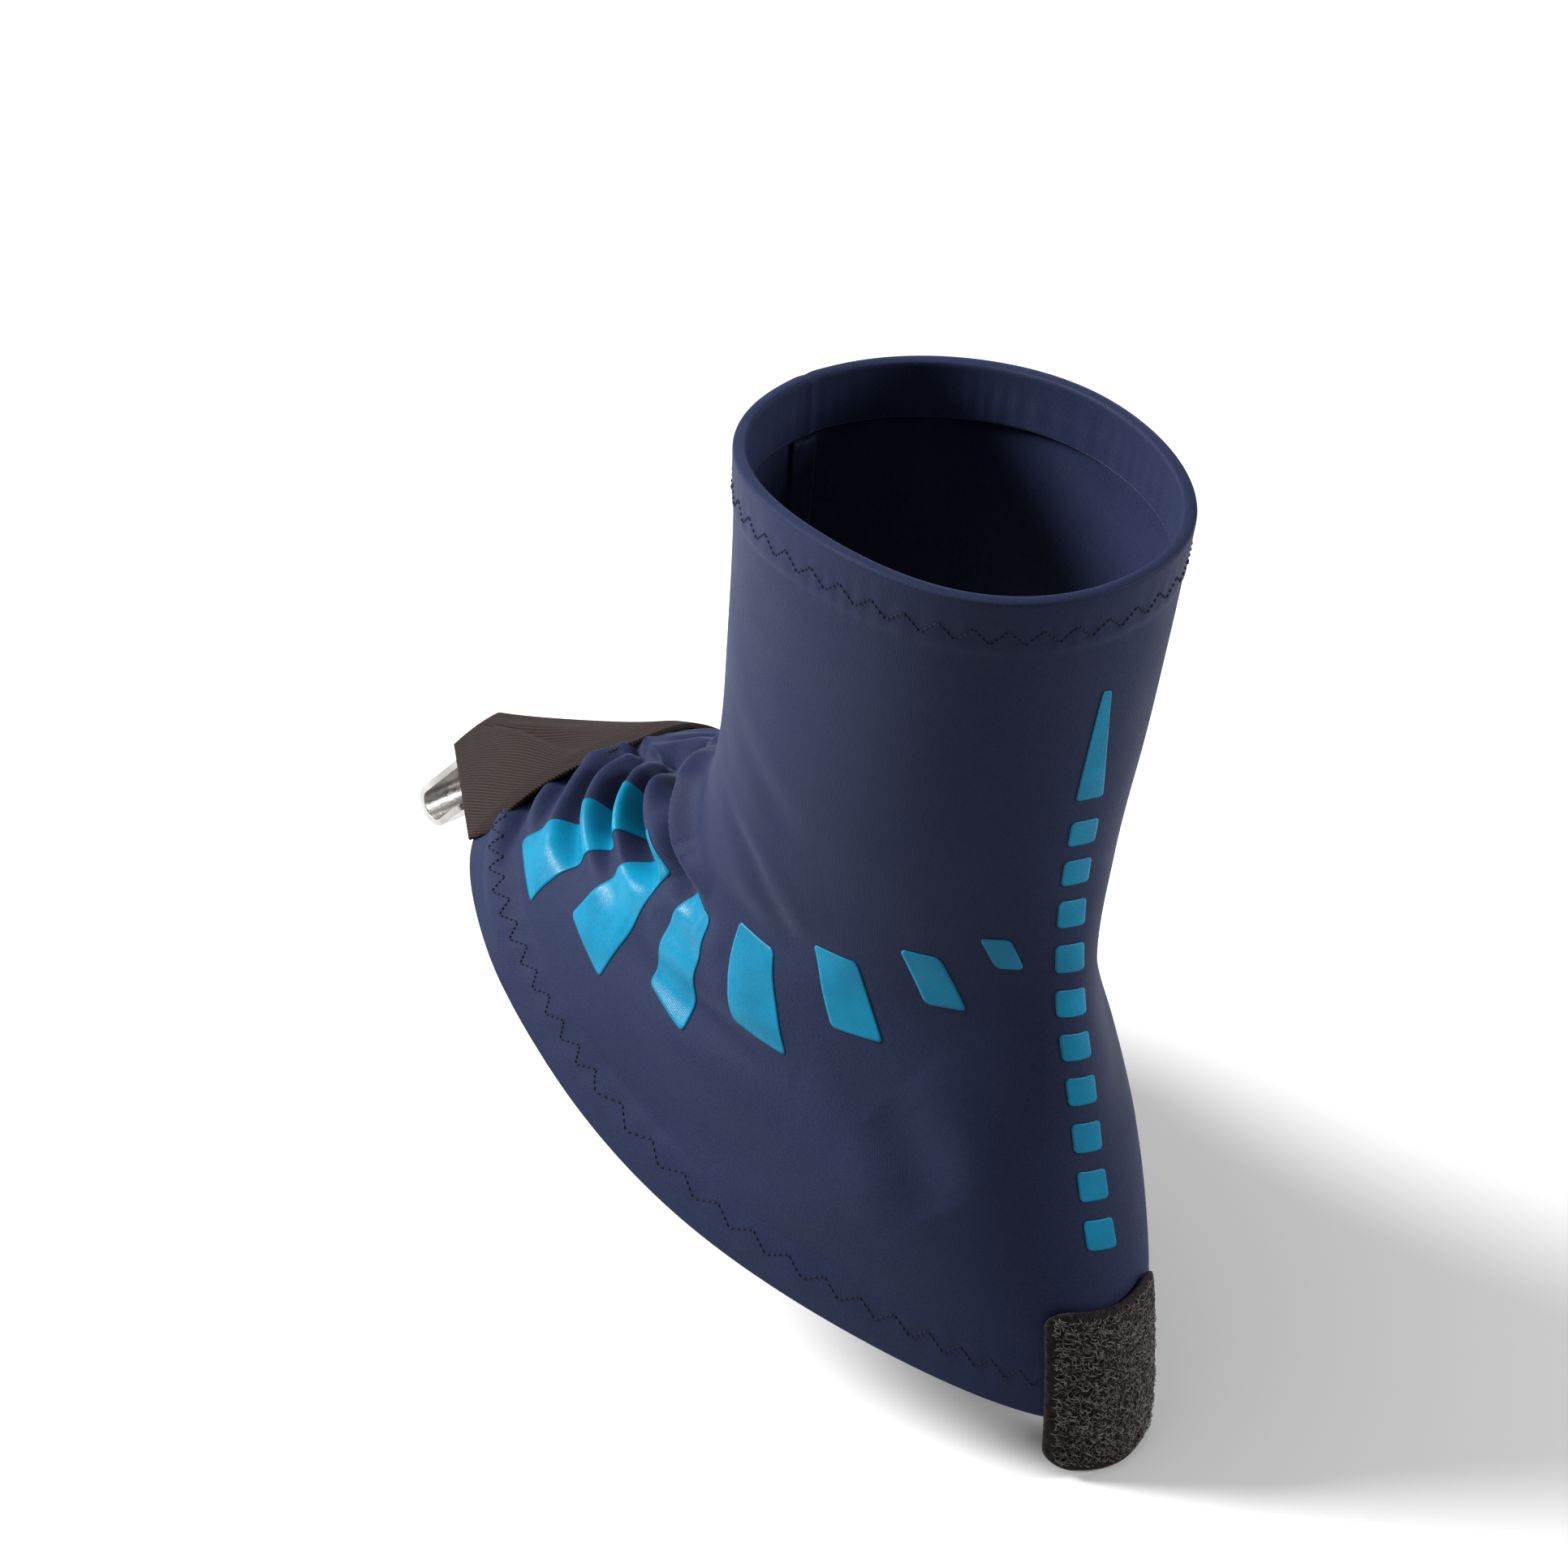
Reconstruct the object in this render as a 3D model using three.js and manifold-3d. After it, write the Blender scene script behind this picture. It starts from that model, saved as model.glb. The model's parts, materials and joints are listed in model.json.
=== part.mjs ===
// Ankle gaiter for a low trail shoe, worn on the left foot.
//
// Millimetres, +Z up the leg, -Y towards the toes, +X to the outer side of the foot.
// The origin is the centre of the leg opening, at the top edge of the cuff.
//
// The stretch sleeve is one loft. Its sections run from the cuff (at = 0) to the lower hem
// (at = 1), tilting from level round the leg to steep across the instep and heel. Everything
// sewn or bonded to the sleeve is placed on that loft by its station, its angle round the
// section (0 at the front seam, a quarter turn on the outer side) and its height off the
// cloth, so it follows the sleeve when a size changes.
import * as THREE from 'three';
import Module from 'manifold-3d';
import { mergeVertices } from 'three/addons/utils/BufferGeometryUtils.js';

// ---- driving dimensions ------------------------------------------------------------------

const cuffWidth = 71.4;
const cuffDepth = 91.8;
const ankleWidth = 61;
const ankleBack = 33;          // heel side of the ankle section, behind the leg's axis
const hemWidth = 90;
const hemFront = -124.5;       // front end of the lower hem, ahead of the leg's axis
const hemBack = 47.5;
const hemDrop = -180.3;        // lower hem at the heel, below the cuff

const cloth = 0.6;             // thickness of the stretch cloth
const gap = 0.3;               // clearance between pieces that touch
const hemDepth = 12;           // turned-in hem, cuff and lower edge alike
const foldDepth = 1.2;         // cloth left below the elastic at the fold
const elasticThickness = 0.9;
const elasticWidth = 7.5;
const elasticMargin = 0.7;     // between the elastic and the cloth at the fold

const threadWidth = 0.7;
const threadHeight = 0.3;
const threadLift = 0.45;       // height of the thread and film above the cloth
const zigzagHeight = 3.2;
const zigzagPitch = 6.5;
const stitchMargin = 1;        // between the zigzag and the turned-in hem's cut edge

const seamWidth = 6;           // overlocked allowance inside the front seam
const seamThickness = 1;
const seamMargin = 2;          // between the seam allowance and each turned-in hem

const tabHalfAngle = 34;       // degrees each side of the front seam that the tab is sewn to
const tabRearCentre = 24;      // sewn edge ahead of the hem: at the front seam
const tabRearSide = 0.8;       // and, in front of the sewn strip, at the tab's two rear corners
const tabSeam = 5;             // width of the sewn strip
const tabPly = 0.8;
const tabLiningPly = 0.6;
const tabCrown = 1.4;          // how far the tab arches above a straight line
const tabTip = [-5, -164, -134.2];
const tabTipWidth = 15;
const tabTipSag = 1.2;         // tip's two corners below its middle
const tabFold = 0.8;           // open line between the sewn strip and the free part
const tabTipSkew = 0.3;        // radians the tip edge turns towards the inner side

const webbingWidth = 8.6;
const webbingThickness = 1;
const webbingLength = 11;
const webbingSewn = 0.6;       // share of its length at which its two ends come together
const hookWidth = 13;
const hookThickness = 1.4;
const hookLength = 21.5;
const hookThroat = 6.2;        // takes a shoe lace of 4 to 5 mm
const hookLip = 10;
const hookBar = 1.6;
const slotClearance = 0.5;     // round the webbing in the hook's slot
const hookSetback = 3;         // bar behind the tip edge
const hookOffset = 2.4;        // towards the outer side of the tip's middle
const hookPitch = -45;         // degrees below level, as it pulls on a lace

const heelTapeWidth = 25;
const heelTapeRise = 25;       // above the hem
const heelTapeDrop = 11;       // free end below the hem
const heelTapeThickness = 1.6;
const heelTapeCorner = 5;
const heelTapeFlat = 12;       // flat middle of the tape, between its two wrapped edges

const gripLength = 30;         // grip patches inside the hem, one each side
const gripWidth = 9;
const gripThickness = 1.2;
const gripAngle = 95;          // degrees round from the front seam

const labelWidth = 18;
const labelHeight = 14;
const labelThickness = 0.4;
const labelMargin = 1;         // below the cuff's turned-in hem
const labelAngle = -150;       // degrees round from the front seam, on the inner side

const film = 0.3;              // thickness of the bonded film
const sideBars = 7;
const sideBarTall = 33;        // height of the first bar, over the instep
const sideBarShort = 7;        // and of the last, beside the heel tendon
const sideBarWidth = 0.21;     // radians round the section, of the middle bar
const sideBarTaper = 0.25;     // share by which the first is wider and the last narrower
const sideBarLean = 0.16;      // radians each bar leans over its height
const sideBarAngles = [0.66, 2.68];       // radians round, of the first and last bar
const sideBarStations = [0.785, 0.475];
const backDashes = 10;
const backDashPitch = 9.2;
const backDashHeight = 5.6;
const backDashWidth = 6.6;
const backBladeHeight = 24;
const backBladeTip = 2;        // width of the blade's upper end
const backSlant = 0.12;        // how far each end slants, as a share of the dash's width

// Sections of the sleeve. front and back are [y, z]; widest is the share of the way from
// front to back where the section is widest; the two blunt values square off (+) or sharpen
// (-) that end; drop lowers the sides below the straight line from front to back.
const sections = [
  { at: 0.00, front: [-cuffDepth / 2 + 0.6, 0.7], back: [cuffDepth / 2 + 0.6, -0.4],
    width: cuffWidth, widest: 0.49, frontBlunt: 0.05, backBlunt: 0.10, drop: -2 },
  { at: 0.14, front: [-47.6, -22.6], back: [41.4, -24],
    width: 69, widest: 0.50, frontBlunt: 0.05, backBlunt: 0.10, drop: -0.8 },
  { at: 0.28, front: [-51, -46], back: [37, -48.6],
    width: 66.4, widest: 0.48, frontBlunt: 0, backBlunt: 0.05, drop: 0 },
  { at: 0.42, front: [-55.4, -68], back: [33.1, -73],
    width: 62.4, widest: 0.45, frontBlunt: 0, backBlunt: -0.08, drop: 0.5 },
  { at: 0.54, front: [-64.2, -88], back: [ankleBack, -94.8],
    width: ankleWidth, widest: 0.44, frontBlunt: 0, backBlunt: -0.28, drop: 2.6 },
  { at: 0.66, front: [-79.8, -100], back: [36.7, -114.6],
    width: 66.4, widest: 0.43, frontBlunt: 0.03, backBlunt: -0.15, drop: 6.4 },
  { at: 0.78, front: [-97.2, -106], back: [41, -136.4],
    width: 74.6, widest: 0.42, frontBlunt: 0.08, backBlunt: 0, drop: 9.7 },
  { at: 0.90, front: [-114, -112.6], back: [46, -158.8],
    width: 81.4, widest: 0.38, frontBlunt: 0.18, backBlunt: -0.03, drop: 10.4 },
  { at: 1.00, front: [hemFront, -119.7], back: [hemBack, hemDrop],
    width: hemWidth, widest: 0.36, frontBlunt: 0.30, backBlunt: -0.15, drop: 8.5 },
];

const around = 48;             // facets round the sleeve
const along = 19;              // and from cuff to hem

// ---- the sleeve's surface ----------------------------------------------------------------

const sectionValues = sections.map((s) => [
  ...s.front, ...s.back, s.width / 2, s.widest, s.frontBlunt, s.backBlunt, s.drop,
]);

function slopeAt(i, k) {
  const a = Math.max(i - 1, 0);
  const b = Math.min(i + 1, sections.length - 1);
  return (sectionValues[b][k] - sectionValues[a][k]) / (sections[b].at - sections[a].at);
}

// Values of the section at a station, by cubic curves through the listed sections.
function sectionAt(at) {
  const t = Math.min(Math.max(at, 0), 1);
  let i = 0;
  while (i < sections.length - 2 && t > sections[i + 1].at) {
    i += 1;
  }
  const span = sections[i + 1].at - sections[i].at;
  const s = (t - sections[i].at) / span;
  return sectionValues[i].map((start, k) => {
    const end = sectionValues[i + 1][k];
    const rise = (s ** 3 - 2 * s ** 2 + s) * span * slopeAt(i, k);
    const fall = (s ** 3 - s ** 2) * span * slopeAt(i + 1, k);
    return (2 * s ** 3 - 3 * s ** 2 + 1) * start + rise + (3 * s ** 2 - 2 * s ** 3) * end + fall;
  });
}

function sleevePoint(at, angle) {
  const [yF, zF, yB, zB, half, widest, frontBlunt, backBlunt, drop] = sectionAt(at);
  const c = Math.cos(angle);
  const s = Math.sin(angle);
  const blunt = c >= 0 ? frontBlunt : backBlunt;
  const share = widest - c * (c >= 0 ? widest : 1 - widest);
  const sag = drop * Math.sin(Math.PI * share) ** 1.5 * Math.abs(s);
  return new THREE.Vector3(
    half * s * (1 + blunt * c * c),
    yF + (yB - yF) * share,
    zF + (zB - zF) * share - sag,
  );
}

// Outward direction of the cloth, and how far a unit of station or of angle runs along it.
function sleeveFrame(at, angle) {
  const step = 1e-3;
  const t = Math.min(Math.max(at, step), 1 - step);
  const down = sleevePoint(t + step, angle).sub(sleevePoint(t - step, angle)).divideScalar(2 * step);
  const round = sleevePoint(t, angle + step).sub(sleevePoint(t, angle - step)).divideScalar(2 * step);
  const out = new THREE.Vector3().crossVectors(down, round).normalize();
  return { out, down: down.length(), round: round.length() };
}

function onSleeve(at, angle, height) {
  return sleevePoint(at, angle).addScaledVector(sleeveFrame(at, angle).out, height);
}

const fromCuff = (distance, angle) => distance / sleeveFrame(0, angle).down;
const fromHem = (distance, angle) => 1 - distance / sleeveFrame(1, angle).down;

// ---- building closed solids --------------------------------------------------------------

function solidFrom(points, triangles) {
  const geometry = new THREE.BufferGeometry();
  const values = points.flatMap((p) => [p.x, p.y, p.z]);
  geometry.setAttribute('position', new THREE.Float32BufferAttribute(values, 3));
  geometry.setIndex(triangles);
  if (volumeOf(points, triangles) < 0) {
    geometry.setIndex(triangles.map((_, i) => triangles[i % 3 === 0 ? i : i + (i % 3 === 1 ? 1 : -1)]));
  }
  geometry.computeVertexNormals();
  return geometry;
}

function volumeOf(points, triangles) {
  let sum = 0;
  for (let i = 0; i < triangles.length; i += 3) {
    const [a, b, c] = [0, 1, 2].map((k) => points[triangles[i + k]]);
    sum += a.dot(new THREE.Vector3().crossVectors(b, c));
  }
  return sum;
}

function quad(a, b, c, d) {
  return [a, b, c, a, c, d];
}

// Sweeps a closed row of points round a closed path: loops[i][j], both directions joined up.
function ringSolid(loops) {
  const rows = loops.length;
  const cols = loops[0].length;
  const triangles = [];
  for (let i = 0; i < rows; i += 1) {
    for (let j = 0; j < cols; j += 1) {
      const i2 = (i + 1) % rows;
      const j2 = (j + 1) % cols;
      triangles.push(...quad(i * cols + j, i * cols + j2, i2 * cols + j2, i2 * cols + j));
    }
  }
  return solidFrom(loops.flat(), triangles);
}

// A thick sheet between two grids of points of the same size.
function sheetSolid(outer, inner) {
  const rows = outer.length;
  const cols = outer[0].length;
  const count = rows * cols;
  const triangles = [];
  const cell = (i, j) => i * cols + j;
  for (let i = 0; i < rows - 1; i += 1) {
    for (let j = 0; j < cols - 1; j += 1) {
      const face = [cell(i, j), cell(i, j + 1), cell(i + 1, j + 1), cell(i + 1, j)];
      triangles.push(...quad(...face));
      triangles.push(...quad(...face.map((k) => k + count).reverse()));
    }
  }
  const rim = [];
  for (let j = 0; j < cols - 1; j += 1) rim.push(cell(0, j));
  for (let i = 0; i < rows - 1; i += 1) rim.push(cell(i, cols - 1));
  for (let j = cols - 1; j > 0; j -= 1) rim.push(cell(rows - 1, j));
  for (let i = rows - 1; i > 0; i -= 1) rim.push(cell(i, 0));
  rim.forEach((a, k) => {
    const b = rim[(k + 1) % rim.length];
    triangles.push(...quad(b, a, a + count, b + count));
  });
  return solidFrom([...outer.flat(), ...inner.flat()], triangles);
}

function grid(rows, cols, place) {
  return Array.from({ length: rows + 1 }, (_, i) =>
    Array.from({ length: cols + 1 }, (_, j) => place(i / rows, j / cols)));
}

// A patch lying on the sleeve: place(u, v) gives [station, angle].
function patchSolid(rows, cols, place, low, high) {
  const layer = (height) => grid(rows, cols, (u, v) => onSleeve(...place(u, v), height));
  return sheetSolid(layer(high), layer(low));
}

async function loadManifold() {
  const wasm = await Module();
  wasm.setup();
  return wasm;
}

const wasm = await loadManifold();

function toManifold(geometry) {
  const bare = geometry.clone();
  bare.deleteAttribute('normal');
  bare.deleteAttribute('uv');
  const merged = mergeVertices(bare, 1e-4);
  return new wasm.Manifold(new wasm.Mesh({
    numProp: 3,
    vertProperties: new Float32Array(merged.attributes.position.array),
    triVerts: new Uint32Array(merged.index.array),
  }));
}

function cut(geometry, tool) {
  const mesh = toManifold(geometry).subtract(toManifold(tool)).getMesh();
  const result = new THREE.BufferGeometry();
  result.setAttribute('position', new THREE.BufferAttribute(mesh.vertProperties, 3));
  result.setIndex(new THREE.BufferAttribute(mesh.triVerts, 1));
  result.computeVertexNormals();
  return result;
}

// ---- pieces of the sleeve ----------------------------------------------------------------

const pocket = elasticThickness + 2 * gap;
const hemStack = 2 * cloth + pocket;
const elasticNear = foldDepth + gap + elasticMargin;
const elasticFar = elasticNear + elasticWidth;
const ringAngles = Array.from({ length: around }, (_, j) => (2 * Math.PI * j) / around);

// The panel's cross-section at one angle: outer face, lower fold and its turned-in cloth,
// inner face, upper turned-in cloth. The elastics lie in the two pockets, and each hem
// bends where its elastic's edges lie, so the pocket keeps its clearance on a curved hem.
function panelProfile(angle) {
  const bends = [foldDepth, elasticNear, elasticFar, hemDepth];
  const cuff = bends.map((distance) => fromCuff(distance, angle));
  const hem = bends.map((distance) => fromHem(distance, angle)).reverse();
  const cuffEdge = cuff[cuff.length - 1];
  const middle = Array.from({ length: along - 1 }, (_, i) =>
    cuffEdge + ((hem[0] - cuffEdge) * (i + 1)) / along);
  const row = (stations, depth) => stations.map((at) => [at, depth]);
  const up = (stations) => [...stations].reverse();
  const points = [
    ...row([0, ...cuff, ...middle, ...hem, 1], 0),
    ...row([1, ...up(hem)], hemStack),
    ...row(hem, hemStack - cloth),
    ...row([...up(hem), ...up(middle), ...up(cuff)], cloth),
    ...row(cuff, hemStack - cloth),
    ...row([...up(cuff), 0], hemStack),
  ];
  return points.map(([at, depth]) => onSleeve(at, angle, -depth));
}

function bodyPanel() {
  return ringSolid(ringAngles.map(panelProfile));
}

function elasticBand(placeNear, placeFar) {
  const low = cloth + gap;
  const high = low + elasticThickness;
  return ringSolid(ringAngles.map((angle) => {
    const near = placeNear(angle);
    const far = placeFar(angle);
    return [[near, low], [far, low], [far, high], [near, high]]
      .map(([at, depth]) => onSleeve(at, angle, -depth));
  }));
}

function cuffElastic() {
  return elasticBand((a) => fromCuff(elasticNear, a), (a) => fromCuff(elasticFar, a));
}

function lowerElastic() {
  return elasticBand((a) => fromHem(elasticFar, a), (a) => fromHem(elasticNear, a));
}

// Zigzag of thread round an edge: fromEdge turns a distance from that edge into a station.
function zigzagThread(edge, fromEdge) {
  const girth = ringAngles.reduce((sum, angle, j) =>
    sum + sleevePoint(edge, angle).distanceTo(sleevePoint(edge, ringAngles[(j + 1) % around])), 0);
  const turns = Math.round(girth / zigzagPitch);
  const centre = hemDepth - stitchMargin - zigzagHeight / 2;
  const path = Array.from({ length: 2 * turns }, (_, k) => ({
    angle: (Math.PI * k) / turns,
    distance: centre + (k % 2 === 0 ? -0.5 : 0.5) * zigzagHeight,
  }));
  return ringSolid(path.map(({ angle, distance }) => {
    const sides = [distance - threadWidth / 2, distance + threadWidth / 2].map((d) => fromEdge(d, angle));
    return [
      onSleeve(sides[0], angle, threadLift),
      onSleeve(sides[1], angle, threadLift),
      onSleeve(sides[1], angle, threadLift + threadHeight),
      onSleeve(sides[0], angle, threadLift + threadHeight),
    ];
  }));
}

function frontSeam() {
  const clear = hemDepth + seamMargin;
  const place = (u, v) => {
    const at = THREE.MathUtils.lerp(fromCuff(clear, 0), fromHem(clear, 0), u);
    return [at, ((v - 0.5) * seamWidth) / sleeveFrame(at, 0).round];
  };
  return patchSolid(along, 2, place, -(cloth + gap + seamThickness), -(cloth + gap));
}

// A flat patch against the turned-in hem; the wall curves, so only its two ends come near it.
function gripPatch(side) {
  const centre = side * THREE.MathUtils.degToRad(gripAngle);
  const at = fromHem(foldDepth + gripWidth / 2, centre);
  const end = gripLength / 2 / sleeveFrame(at, centre).round;
  const middle = onSleeve(at, centre, -hemStack);
  const ends = [-end, end].map((turn) => onSleeve(at, centre + turn, -hemStack));
  const round = ends[1].clone().sub(ends[0]).normalize();
  const inward = sleeveFrame(at, centre).out.negate().projectOnPlane(round).normalize();
  const across = new THREE.Vector3().crossVectors(inward, round);
  const bow = middle.distanceTo(ends[0].clone().lerp(ends[1], 0.5));
  middle.addScaledVector(inward, bow + 2 * gap + gripThickness / 2);
  const geometry = new THREE.BoxGeometry(gripLength, gripWidth, gripThickness);
  return geometry.applyMatrix4(new THREE.Matrix4().makeBasis(round, across, inward).setPosition(middle));
}

function careLabel() {
  const centre = THREE.MathUtils.degToRad(labelAngle);
  const place = (u, v) => {
    const angle = centre + ((v - 0.5) * labelWidth) / sleeveFrame(0, centre).round;
    return [fromCuff(hemDepth + labelMargin + u * labelHeight, angle), angle];
  };
  const low = cloth + gap;
  return patchSolid(2, 3, place, -(low + labelThickness), -low);
}

// ---- bonded film -------------------------------------------------------------------------

// One leaning bar of the outer side's motif; share runs from the instep (0) to the heel (1).
function sideBar(share) {
  const angle = THREE.MathUtils.lerp(...sideBarAngles, share);
  const station = THREE.MathUtils.lerp(...sideBarStations, share ** 0.9);
  const height = THREE.MathUtils.lerp(sideBarTall, sideBarShort, share);
  const width = sideBarWidth * THREE.MathUtils.lerp(1 + sideBarTaper, 1 - sideBarTaper, share);
  const half = height / 2 / sleeveFrame(station, angle).down;
  const place = (u, v) => [
    station + half * (2 * u - 1),
    angle + width * (v - 0.5) + sideBarLean * (2 * u - 1) * (height / sideBarTall),
  ];
  return patchSolid(4, 2, place, threadLift, threadLift + film);
}

function backPiece(top, height, topWidth, lowWidth) {
  const place = (u, v) => {
    const at = fromCuff(top + u * height, Math.PI);
    const width = THREE.MathUtils.lerp(topWidth, lowWidth, u);
    const slant = backDashWidth * backSlant * (2 * v - 1);
    return [at + slant / sleeveFrame(at, Math.PI).down,
      Math.PI + ((v - 0.5) * width) / sleeveFrame(at, Math.PI).round];
  };
  return patchSolid(Math.max(2, Math.round(height / 6)), 2, place, threadLift, threadLift + film);
}

const backBladeTop = 25;
const backDashTop = backBladeTop + backBladeHeight + 5;

function backBlade() {
  return backPiece(backBladeTop, backBladeHeight, backBladeTip, backDashWidth);
}

function backDash(index) {
  return backPiece(backDashTop + index * backDashPitch, backDashHeight, backDashWidth, backDashWidth);
}

// ---- toe tab and lace hook ---------------------------------------------------------------

const tabLift = threadLift + threadHeight + gap;  // tab's underside above the sleeve
const tabStack = tabPly + gap + tabLiningPly;
const tabCols = 10;
const tabSeamRows = 4;         // enough for the sewn strip to follow a curved hem

// Station of the tab's sewn edge, moved forward along the cloth by a distance.
function tabEdge(v, forward) {
  const across = 2 * v - 1;
  const angle = across * THREE.MathUtils.degToRad(tabHalfAngle);
  const back = THREE.MathUtils.lerp(tabRearCentre, tabRearSide + tabSeam, across ** 2);
  return [fromHem(back - forward, angle), angle];
}

function toeTabBase() {
  const rear = (u, v) => tabEdge(v, u * tabSeam);
  return patchSolid(tabSeamRows, tabCols, rear, tabLift, tabLift + tabStack);
}

// Top face of the free part: u runs from the sewn strip to the tip, v from inner to outer side.
function tabTop(u, v) {
  const across = 2 * v - 1;
  const rear = onSleeve(...tabEdge(v, tabSeam + tabFold), tabLift + tabStack);
  const tip = new THREE.Vector3(
    tabTip[0] + (across * tabTipWidth * Math.cos(tabTipSkew)) / 2,
    tabTip[1] + (across * tabTipWidth * Math.sin(tabTipSkew)) / 2,
    tabTip[2] - tabTipSag * across ** 2,
  );
  const point = rear.lerp(tip, u);
  point.z += tabCrown * Math.sin(Math.PI * u) * (1 - across ** 2);
  return point;
}

function tabPoint(u, v, depth) {
  const step = 1e-3;
  const lengthwise = tabTop(u + step, v).sub(tabTop(u - step, v));
  const crosswise = tabTop(u, v + step).sub(tabTop(u, v - step));
  const up = new THREE.Vector3().crossVectors(crosswise, lengthwise).normalize();
  if (up.z < 0) {
    up.negate();
  }
  return tabTop(u, v).addScaledVector(up, -depth);
}

function tabLayer(from, to) {
  const layer = (depth) => grid(6, tabCols, (u, v) => tabPoint(u, v, depth));
  return sheetSolid(layer(from), layer(to));
}

const tabSlope = Math.atan2(
  tabTop(1, 0.5).z - tabTop(0.7, 0.5).z,
  tabTop(0.7, 0.5).y - tabTop(1, 0.5).y,
);
const webbingBore = Math.hypot(hookBar, hookThickness) / 2 + gap;
const hookDrop = tabStack + tabTipSag + 3 * gap + webbingBore + webbingThickness;

// Lays a flat outline drawn as [forward, up] about the hook's bar on its side, across the foot.
function acrossFoot(shape, width, pitch) {
  const geometry = new THREE.ExtrudeGeometry(shape, { depth: width, bevelEnabled: false, curveSegments: 8 });
  geometry.translate(0, 0, -width / 2);
  geometry.rotateZ(pitch);
  // forward -> -Y, up -> +Z, extrusion -> -X
  const turn = new THREE.Matrix4().makeBasis(
    new THREE.Vector3(0, -1, 0), new THREE.Vector3(0, 0, 1), new THREE.Vector3(-1, 0, 0));
  geometry.applyMatrix4(turn);
  return geometry;
}

function barPosition() {
  const forward = new THREE.Vector3(0, -Math.cos(tabSlope), Math.sin(tabSlope));
  const up = new THREE.Vector3(0, Math.sin(tabSlope), Math.cos(tabSlope));
  return new THREE.Vector3(...tabTip)
    .add(new THREE.Vector3(hookOffset, 0, 0))
    .addScaledVector(forward, -hookSetback)
    .addScaledVector(up, -hookDrop);
}

// Ribbon folded round the hook's bar, its two ends brought together under the tab.
function hookWebbing() {
  const r = webbingBore;
  const R = r + webbingThickness;
  const join = -webbingLength * webbingSewn;
  const meet = r - gap;
  const shape = new THREE.Shape();
  shape.moveTo(-webbingLength, R);
  shape.lineTo(0, R);
  shape.absarc(0, 0, R, Math.PI / 2, -Math.PI / 2, true);
  shape.lineTo(join, meet - webbingThickness);
  shape.lineTo(-webbingLength, meet - webbingThickness);
  shape.lineTo(-webbingLength, meet);
  shape.lineTo(join, meet);
  shape.lineTo(0, -r);
  shape.absarc(0, 0, r, -Math.PI / 2, Math.PI / 2, false);
  shape.lineTo(-webbingLength, r);
  shape.closePath();
  return acrossFoot(shape, webbingWidth, tabSlope);
}

// Formed strip: a slotted plate, a round bend and a lip coming back towards the ankle.
function laceHook() {
  const half = hookThickness / 2;
  const r = hookThroat / 2;
  const R = r + hookThickness;
  const bend = hookLength - R;
  const shape = new THREE.Shape();
  shape.moveTo(-hookBar / 2, half);
  shape.lineTo(bend, half);
  shape.absarc(bend, half - R, R, Math.PI / 2, -Math.PI / 2, true);
  shape.lineTo(bend - hookLip, half - 2 * R);
  shape.lineTo(bend - hookLip, half - 2 * R + hookThickness);
  shape.lineTo(bend, half - 2 * R + hookThickness);
  shape.absarc(bend, half - R, r, -Math.PI / 2, Math.PI / 2, false);
  shape.lineTo(-hookBar / 2, -half);
  shape.closePath();
  const slotWidth = webbingWidth + 2 * slotClearance;
  const slotLength = webbingBore + webbingThickness + slotClearance - hookBar / 2;
  const slot = new THREE.Shape();
  slot.moveTo(hookBar / 2, -hookThickness);
  slot.lineTo(hookBar / 2 + slotLength, -hookThickness);
  slot.lineTo(hookBar / 2 + slotLength, hookThickness);
  slot.lineTo(hookBar / 2, hookThickness);
  slot.closePath();
  const pitch = THREE.MathUtils.degToRad(hookPitch);
  return cut(acrossFoot(shape, hookWidth, pitch), acrossFoot(slot, slotWidth, pitch));
}

// ---- heel tape ---------------------------------------------------------------------------

// Half-width of the tape at a height above its lower end, with rounded corners.
function tapeHalfWidth(height, length) {
  const fromCorner = Math.max(heelTapeCorner - (length - height), heelTapeCorner - height, 0);
  return heelTapeWidth / 2 - heelTapeCorner + Math.sqrt(heelTapeCorner ** 2 - fromCorner ** 2);
}

const tapeLength = heelTapeRise + heelTapeDrop;
const tapeLift = threadLift + threadHeight + 2 * gap;
const tapeFlatShare = heelTapeFlat / heelTapeWidth;
const tapeColumns = [-1, -(1 + tapeFlatShare) / 2, -tapeFlatShare, tapeFlatShare, (1 + tapeFlatShare) / 2, 1];

// Back of the sleeve at a distance across the heel, for a height above the hem.
function heelPoint(height, across) {
  const station = fromHem(height, Math.PI);
  const angle = Math.PI - across / sleeveFrame(station, Math.PI).round;
  return onSleeve(fromHem(height, angle), angle, tapeLift);
}

// Point of the tape: height above the hem (negative on the free end), side -1 to 1. The
// middle is one flat strip from the tape's top edge to the hem, and straight down below it.
function tapePoint(height, side, lift) {
  const across = side * tapeHalfWidth(heelTapeDrop + height, tapeLength);
  const top = heelPoint(heelTapeRise, 0);
  const hem = heelPoint(0, 0);
  const middle = hem.clone().lerp(top, Math.max(height, 0) / heelTapeRise);
  const flat = heelTapeFlat / 2;
  const wrapped = Math.max(Math.abs(across) - flat, 0);
  const level = Math.max(height, 0);
  const behind = heelPoint(level, flat).y - heelPoint(level, flat + wrapped).y;
  return new THREE.Vector3(across, middle.y - behind + lift, middle.z + Math.min(height, 0));
}

function tapeSolid(from, to, rows) {
  const layer = (lift) => grid(rows, tapeColumns.length - 1, (u, v) => {
    const side = tapeColumns[Math.round(v * (tapeColumns.length - 1))];
    return tapePoint(THREE.MathUtils.lerp(from, to, u), side, lift);
  });
  return sheetSolid(layer(heelTapeThickness), layer(0));
}

function heelTapeUpper() {
  return tapeSolid(gap / 2, heelTapeRise, 8);
}

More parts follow.
